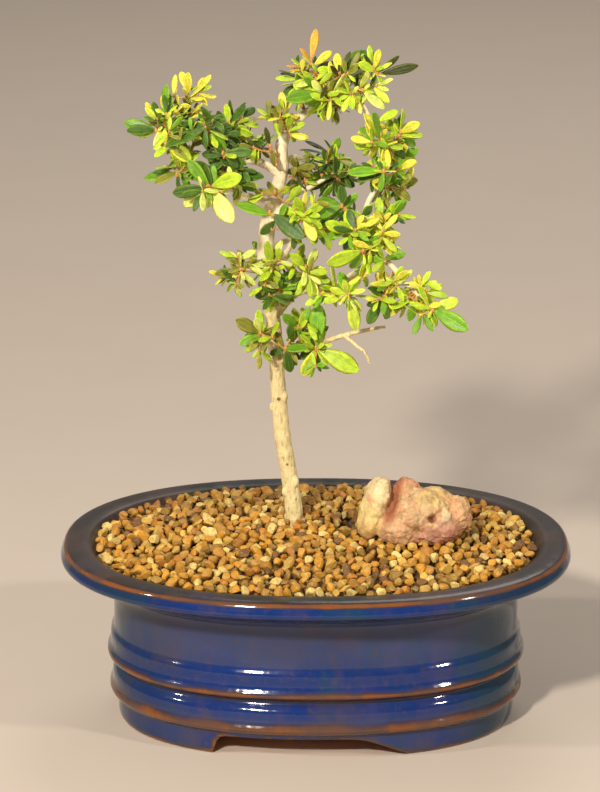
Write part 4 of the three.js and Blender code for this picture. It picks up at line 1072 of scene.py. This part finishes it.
# Leaf colours: dark, middle, bright, light, pale, golden, olive, red, teal and blackish; pale is partly painted
# sheen, and blackish is painted shade deep in the crown
leafTones = {
    "d": (0.04, 0.10, 0.010), "m": (0.11, 0.26, 0.012), "b": (0.30, 0.45, 0.022), "l": (0.42, 0.56, 0.05),
    "p": (0.46, 0.56, 0.13), "g": (0.50, 0.49, 0.05), "o": (0.17, 0.18, 0.025), "r": (0.50, 0.27, 0.04),
    "t": (0.03, 0.10, 0.035), "k": (0.035, 0.045, 0.012),
}


def makeDraws(seed):
    # even draws, the same each time
    state = [seed]

    def draw(low, high):
        state[0] = (state[0] + 0x6D2B79F5) & 0xFFFFFFFF
        mixed = ((state[0] ^ (state[0] >> 15)) * (1 | state[0])) & 0xFFFFFFFF
        added = ((mixed ^ (mixed >> 7)) * (61 | mixed)) & 0xFFFFFFFF
        mixed = ((mixed + added) & 0xFFFFFFFF) ^ mixed
        return low + (high - low) * (mixed ^ (mixed >> 14)) / 4294967296
    return draw


def unit(vector):
    return vector / np.linalg.norm(vector)


def twigCurve(limbName, at, tip):
    # a twig leaves its limb squarely and bends up towards its tip
    limb = limbs[limbName]
    curve = Curve(limb["line"])
    root, along, end = curve.along(at), curve.direction(at), np.array(tip, float)
    clear = twig["clearance"]
    if at < 1:
        outward = end - root
        outward = unit(outward - along * (outward @ along))
        clear += limbRadius(limb, at)
    else:
        outward = along
    start = root + outward * clear
    straight = start + outward * twig["straight"]
    middle = straight + (end - straight) * 0.5
    middle[2] -= twig["bow"] * np.linalg.norm(end - straight)
    return Curve([start, straight, middle, end])


def leafBreadth(share):
    (firstAt, firstWide), (secondAt, secondWide) = leaf["outline"]
    return np.interp(share, [0, firstAt, secondAt, 1], [0, firstWide, secondWide, 0])


def leafHeight(one, along, across):
    return leaf["fold"] * np.abs(across) - leaf["droop"] * along * along / one["length"]


def leafPoints(one, along, across, height):
    return (one["base"] + np.multiply.outer(along, one["along"]) + np.multiply.outer(across, one["side"])
            + np.multiply.outer(height, one["up"]))


def layLeaf(owner, base, degrees, length, lean, roll):
    # It points as asked, seen from the front, leans to the front or the back, and faces up and outwards
    direction, depth, turn = math.radians(degrees), math.radians(lean), math.radians(roll)
    flat = math.cos(depth)
    along = np.array([flat * math.cos(direction), -math.sin(depth), flat * math.sin(direction)])
    facing = unit(np.array([base[0] + 5, base[1] - 16, 0])) * 0.5 + (0, -0.9, 0.75)
    side = unit(np.cross(facing, along))
    side = side * math.cos(turn) + np.cross(along, side) * math.sin(turn)
    one = {"owner": owner, "base": base, "along": along, "side": side, "up": np.cross(along, side),
           "length": length, "halfWidth": length * leaf["width"] / 2}
    shares, across = [1.0], [0.0]
    for share in (0.2, 0.36, 0.52, 0.68, 0.84):
        reach = leafBreadth(share) * one["halfWidth"]
        shares += [share] * 5
        across += [-reach, -reach / 2, 0, reach / 2, reach]
    along, across = np.array(shares) * length, np.array(across)
    one["samples"] = leafPoints(one, along, across, leafHeight(one, along, across))
    one["middle"] = leafPoints(one, length / 2, 0.0, leafHeight(one, length / 2, 0.0))
    return one


def anyInside(one, points, room, start):
    offset = points - one["base"]
    along, across, height = offset @ one["along"], offset @ one["side"], offset @ one["up"]
    wide = leafBreadth(np.clip(along / one["length"], 0, 1)) * one["halfWidth"] + room
    near = np.abs(height - leafHeight(one, along, across)) < room
    return bool(np.any((along >= start) & (along <= one["length"] + room) & (np.abs(across) <= wide) & near))


def leavesMeet(one, other, room=None):
    same = one["owner"] == other["owner"]
    if room is None:
        room = leaf["roomSameSpray"] if same else leaf["room"]
    if np.linalg.norm(one["middle"] - other["middle"]) > (one["length"] + other["length"]) / 2 + room:
        return False
    return any(anyInside(b, a["samples"], room, leaf["rootShare"] * b["length"] if same else -room)
               for a, b in ((one, other), (other, one)))


def woodDistances(points, pieces):
    starts, ends = pieces["from"], pieces["to"]
    piece = ends - starts
    offset = points[:, None, :] - starts[None]
    share = np.clip((offset * piece).sum(2) / (piece * piece).sum(1), 0, 1)
    return np.linalg.norm(offset - share[:, :, None] * piece, axis=2) - pieces["radius"]


def leafIsClear(one, pieces, laid, room=None, roomWood=None, top=None):
    if one["samples"][:, 2].max() > (top or leaf["top"]):
        return False
    others = pieces["owner"] != one["owner"]
    roomWood = leaf["roomWood"] if roomWood is None else roomWood
    if np.any(woodDistances(one["samples"], pieces)[:, others] < roomWood):
        return False
    return not any(leavesMeet(one, other, room) for other in laid)


def woodPieces(curves):
    # every limb and twig as short straight pieces, which leaves keep clear of
    starts, ends, radii, owners = [], [], [], []

    def add(curve, steps, radiusAt, owner):
        points = curve.spaced(steps)
        for step in range(steps):
            starts.append(points[step])
            ends.append(points[step + 1])
            radii.append(radiusAt(step / steps))
            owners.append(owner)
    for limb in limbs.values():
        add(Curve(limb["line"]), limb["steps"], lambda share: limbRadius(limb, share), "wood")
    first, last = twig["radius"]
    for name, curve in curves.items():
        add(curve, twig["steps"], lambda share: first + (last - first) * share, name)
    return {"from": np.array(starts), "to": np.array(ends), "radius": np.array(radii), "owner": np.array(owners)}


def growLeaves(draw, name, curve, pieces, laid):
    asked, more, tones = sprays[name][3:]
    joints = curve.spaced(twig["steps"])
    count = len(asked) + more
    spacing = min(leaf["spacing"] / curve.length, leaf["deepest"] / count)
    for i in range(count):
        spot = (0.98 - i * spacing) * twig["steps"]
        joint = int(math.floor(spot))
        base = joints[joint] + (joints[joint + 1] - joints[joint]) * (spot - joint)
        isExtra = i >= len(asked)
        degrees = draw(0, 360) if isExtra else asked[i][0]
        shown = draw(7, 10) if isExtra else asked[i][1]
        for attempt in range(leaf["tries"]):
            tilt = leaf["extraTilt"] if isExtra else leaf["tilt"]
            lean = draw(-tilt, tilt)
            roll = draw(-leaf["roll"], leaf["roll"])
            turn = attempt * draw(-1.5, 1.5)
            stretch = 1 if isExtra else min(1 / math.cos(math.radians(lean)), 1.15)
            one = layLeaf(name, base, degrees + turn, shown * stretch, lean, roll)
            if leafIsClear(one, pieces, laid):
                one["tone"] = tones[i % len(tones)]
                laid.append(one)
                break


def laySmallLeaf(draw, name, curve, reach, pieces, laid):
    for attempt in range(smallLeaves["tries"]):
        base = curve.along(draw.uniform(*reach))
        length = draw.uniform(*smallLeaves["length"])
        degrees = draw.uniform(0, 360)
        lean, roll = (draw.uniform(-most, most) for most in (smallLeaves["lean"], smallLeaves["roll"]))
        one = layLeaf(name, base, degrees, length, lean, roll)
        x, y, z = one["middle"]
        if y < smallLeaves["bareFront"] and any(
                left < x < right and low < z < high for left, right, low, high in smallLeaves["bareStems"]):
            continue
        if leafIsClear(one, pieces, laid, smallLeaves["room"], smallLeaves["room"], smallLeaves["top"]):
            one["small"] = True
            more = next(tones for limit, tones in smallLeaves["moreTones"] if sprays[name][2][0] < limit)
            one["tone"] = draw.choice(sprays[name][5] + more)
            laid.append(one)
            return


def growSmallLeaves(name, curve, pieces, laid):
    # young leaves between the large ones, and on thin side twigs
    draw = random.Random(smallLeaves["seed"] + sum(map(ord, name)))
    for i in range(smallLeaves["onTwig"] + smallLeaves["fuller"].get(name, 0)):
        laySmallLeaf(draw, name, curve, smallLeaves["farOut"], pieces, laid)
    sideTwigs = []
    for i in range(smallLeaves["sideTwigs"]):
        start = curve.along(draw.uniform(*smallLeaves["sideFrom"]))
        toward = unit(np.array([draw.gauss(0, 1), draw.gauss(-0.2, 0.8), draw.gauss(0.25, 0.8)]))
        end = start + toward * draw.uniform(*smallLeaves["sideLength"])
        bend = (start + end) / 2 + (0, 0, smallLeaves["sideBend"])
        side = Curve([start, bend, end])
        sideTwigs.append(side)
        for j in range(smallLeaves["onSideTwig"]):
            laySmallLeaf(draw, name, side, smallLeaves["sideReach"], pieces, laid)
    return sideTwigs


def leafNet(rows, columns):
    # rows and columns of a blade: share of its length and of its width, and the side that it is on
    shares = (1 - np.cos(np.linspace(0.12, 1, rows) * math.pi)) / 2 * 0.985
    across = np.linspace(-1, 1, columns)
    spots = [(0, 0, 0), (1, 0, 0)]
    top, under = {}, {}
    for row, share in enumerate(shares):
        for column, wide in enumerate(across):
            top[row, column] = len(spots)
            spots.append((share, wide, 0))
            under[row, column] = top[row, column]
            if 0 < column < columns - 1:
                under[row, column] = len(spots)
                spots.append((share, wide, 1))
    faces = []
    for column in range(columns - 1):
        faces.append((0, top[0, column + 1], top[0, column]))
        faces.append((0, under[0, column], under[0, column + 1]))
        faces.append((1, top[rows - 1, column], top[rows - 1, column + 1]))
        faces.append((1, under[rows - 1, column + 1], under[rows - 1, column]))
        for row in range(rows - 1):
            faces.append((top[row, column], top[row, column + 1], top[row + 1, column + 1], top[row + 1, column]))
            faces.append((under[row, column], under[row + 1, column], under[row + 1, column + 1],
                          under[row, column + 1]))
    return np.array(spots, float), faces


def bladeSpots(one, net, draw):
    share, wide, isUnder = net.T
    length, half = one["length"], one["halfWidth"]
    breadth = np.sin(np.pi * np.clip(share, 0, 1) ** 1.5) ** 0.62 * half * one["slim"]
    breadth = np.maximum(breadth, np.where(share < 0.3, leaf["stalk"], 0.0))
    across = wide * breadth
    along = share * length
    height = leaf["fold"] * (np.sqrt(across ** 2 + 0.15) - 0.387) - leaf["droop"] * along ** 2 / length
    height -= leaf["curl"] * half * wide ** 4 * np.sin(np.pi * share)
    phase = draw.uniform(0, 6.28)
    height += leaf["wave"] * half * 0.16 * wide ** 2 * np.sign(wide) * np.sin(share * 7 + phase) * share
    height -= isUnder * leaf["thickness"]
    return leafPoints(one, along, across, height - leaf["thickness"] * 0.3)


def leafMaterial():
    material, tree, shader = newMaterial("leaf")
    spot = place(tree)
    across = sums(tree, "ABSOLUTE", attribute(tree, "leafAcross"))
    along = attribute(tree, "leafAlong")
    mottle = cloud(tree, spot, 2.2, 3)
    tone = attribute(tree, "leafTone", "Color")
    lighter = blendColors(tree, 1.0, tone, leaf["light"], "MULTIPLY")
    color = stain(tree, tone, lighter, mottle, leaf["lightAt"])
    slant = scaled(tree, across, -2.6, times(tree, along, 9.0))
    veins = sums(tree, "PINGPONG", slant, 0.5)
    veinShare = level(tree, veins, 0.06, 0.0, 0.0, 0.28)
    pale = blendColors(tree, 1.0, tone, leaf["vein"], "MULTIPLY")
    pale = blendColors(tree, 0.2, pale, leaf["veinTint"])
    color = blendColors(tree, veinShare, color, pale)
    midrib = level(tree, across, 0.1, 0.02, 0.0, 0.4)
    color = blendColors(tree, midrib, color, pale)
    edge = scaled(tree, mottle, 0.5, sums(tree, "SUBTRACT", across, 0.25))
    color = stain(tree, color, pale, edge, leaf["rimAt"])
    color = stain(tree, color, leaf["stalkTone"], along, leaf["stalkAt"])
    under = times(tree, attribute(tree, "leafUnder"), leaf["underShare"])
    color = blendColors(tree, under, color, leaf["underTone"])
    join(tree, color, shader, "Base Color")
    join(tree, scaled(tree, mottle, 0.2, 0.3), shader, "Roughness")
    setInputs(shader, leaf["shader"])
    height = sums(tree, "SUBTRACT", mottle, sums(tree, "ADD", veinShare, midrib))
    bump(tree, shader, height, 0.12)
    return material


def bladesOf(own, nets, look):
    # the leaves of a spray: points, faces, place on the blade, tone, and 0 for the leaf material
    parts = []
    for one in own:
        isSmall = "small" in one
        net, netFaces = nets[isSmall]
        one["slim"] = look.uniform(*leaf["slim"][isSmall])
        if one["tone"] in leaf["narrowTones"]:
            one["slim"] *= leaf["narrower"]
        spots = bladeSpots(one, net, look)
        shade = np.array(leafTones[one["tone"]]) * look.uniform(*leaf["spread"])
        parts.append((spots, netFaces, net, shade, 0))
    return parts


def stemsOf(curve, sideTwigs, look):
    # the twig, its side twigs and its buds, in the same form, with 1 for the bark
    bud, budFaces = ball(1)
    points = curve.spaced(twig["fineSteps"])
    points = np.vstack([points[0] - unit(points[1] - points[0]) * twig["sunk"], points])
    first, last = twig["thinner"]
    radii = [first + (last - first) * i / twig["fineSteps"] for i in range(len(points))]
    stems = [tube(points, radii, twig["sides"]), (bud * (0.7, 0.7, 1.2) + curve.along(1.0), budFaces)]
    for share in twig["budsAt"]:
        off = np.array([look.uniform(-twig["budsOff"], twig["budsOff"]) for axis in range(3)])
        stems.append((bud * (0.6, 0.6, 0.9) + curve.along(share) + off, budFaces))
    first, last = smallLeaves["sideRadius"]
    for side in sideTwigs:
        stems.append(tube(side.spaced(6), [first + (last - first) * i / 6 for i in range(7)], 7))
        stems.append((bud * (0.4, 0.4, 0.8) + side.along(1.0), budFaces))
    return [(spots, faces, np.zeros((len(spots), 3)), twig["tone"], 1) for spots, faces in stems]


def makeSpray(name, parts, materials):
    spots, faces = gathered([part[:2] for part in parts])
    nets, tones, kinds = [], [], []
    for more, moreFaces, net, tone, kind in parts:
        nets.append(net)
        tones += [tone] * len(more)
        kinds += [kind] * len(moreFaces)
    piece = makePiece("leaves_" + name, spots, faces, materials, ["spray_" + name])
    piece.data.polygons.foreach_set("material_index", kinds)
    paint(piece.data, "leafTone", tones)
    for title, values in zip(("leafAlong", "leafAcross", "leafUnder"), np.vstack(nets).T):
        paint(piece.data, title, values)


def makeSprays():
    draw = makeDraws(leaf["seed"])
    curves = {name: twigCurve(*spray[:3]) for name, spray in sprays.items()}
    pieces = woodPieces(curves)
    laid = []
    for name, curve in curves.items():
        growLeaves(draw, name, curve, pieces, laid)
    print("large leaves laid:", len(laid))
    sideTwigs = {name: growSmallLeaves(name, curve, pieces, laid) for name, curve in curves.items()}
    print("with the small ones:", len(laid))
    nets = [leafNet(size["rows"], size["columns"]) for size in (leaf, smallLeaves)]
    materials = [leafMaterial(), barkMaterial("twigBark")]
    for name, curve in curves.items():
        look = random.Random(name)
        blades = bladesOf([one for one in laid if one["owner"] == name], nets, look)
        makeSpray(name, blades + stemsOf(curve, sideTwigs[name], look), materials)
    print("sprays made:", len(curves))


# The camera in mm and degrees, and the studio's tones
view = {
    "camera": (-6.3, -1500, 592), "down": 17.08, "lens": 180.68,
    "floor": linear((196, 182, 168)), "floorPatch": linear((184, 168, 152)), "patchAt": (0.3, 0.7, 0.12),
    "floorHalf": 6, "floorRough": 0.7, "sky": linear((236, 228, 218)), "skyStrength": 0.3,
    "aim": (0, 0, 0.12),  # where the lamps point, in metres
}
# Lamps, placed in metres
lamps = {
    "key": {"at": (-0.45, -1.25, 0.98), "size": 0.12, "power": 28, "color": (1.0, 0.93, 0.82)},
    "left": {"at": (-1.25, -0.55, 0.95), "size": 0.1, "power": 8.5, "color": (1.0, 0.95, 0.88)},
    "right": {"at": (1.2, -0.82, 0.95), "size": 0.1, "power": 10, "color": (1.0, 0.95, 0.88)},
    "back": {"at": (0.3, 1.2, 1.3), "size": 0.9, "power": 7, "color": (1.0, 0.97, 0.93)},
}


def makeStudio():
    camera = linked("camera", bpy.data.cameras.new("camera"))
    camera.location = Vector(view["camera"]) * mm
    camera.rotation_euler = (math.radians(90 - view["down"]), 0, 0)
    camera.data.lens = view["lens"]
    camera.data.sensor_width = 36
    camera.data.clip_start = 0.05
    camera.data.clip_end = 30
    bpy.context.scene.camera = camera
    for name, lamp in lamps.items():
        light = bpy.data.lights.new(name, "AREA")
        light.shape = "DISK"
        light.size = lamp["size"]
        light.energy = lamp["power"]
        light.color = lamp["color"]
        holder = linked(name, light)
        holder.location = lamp["at"]
        aim = Vector(view["aim"]) - Vector(lamp["at"])
        holder.rotation_euler = aim.to_track_quat("-Z", "Y").to_euler()
    bpy.context.scene.view_settings.view_transform = "Standard"
    world = bpy.data.worlds.new("studio")
    world.use_nodes = True
    sky = world.node_tree.nodes["Background"]
    sky.inputs["Color"].default_value = (*view["sky"], 1)
    sky.inputs["Strength"].default_value = view["skyStrength"]
    bpy.context.scene.world = world
    half = view["floorHalf"]
    mesh = bpy.data.meshes.new("floor")
    mesh.from_pydata([(-half, -half, 0), (half, -half, 0), (half, half, 0), (-half, half, 0)], [], [(0, 1, 2, 3)])
    floor = linked("floor", mesh)
    material, tree, shader = newMaterial("floor")
    grain = cloud(tree, place(tree), 60, 3)
    color = stain(tree, view["floor"], view["floorPatch"], grain, view["patchAt"])
    join(tree, color, shader, "Base Color")
    shader.inputs["Roughness"].default_value = view["floorRough"]
    mesh.materials.append(material)
    print("studio made")


makePot()
plainMaterials()
makeGravel()
makeRock()
makeWood()
makeSprays()
makeStudio()
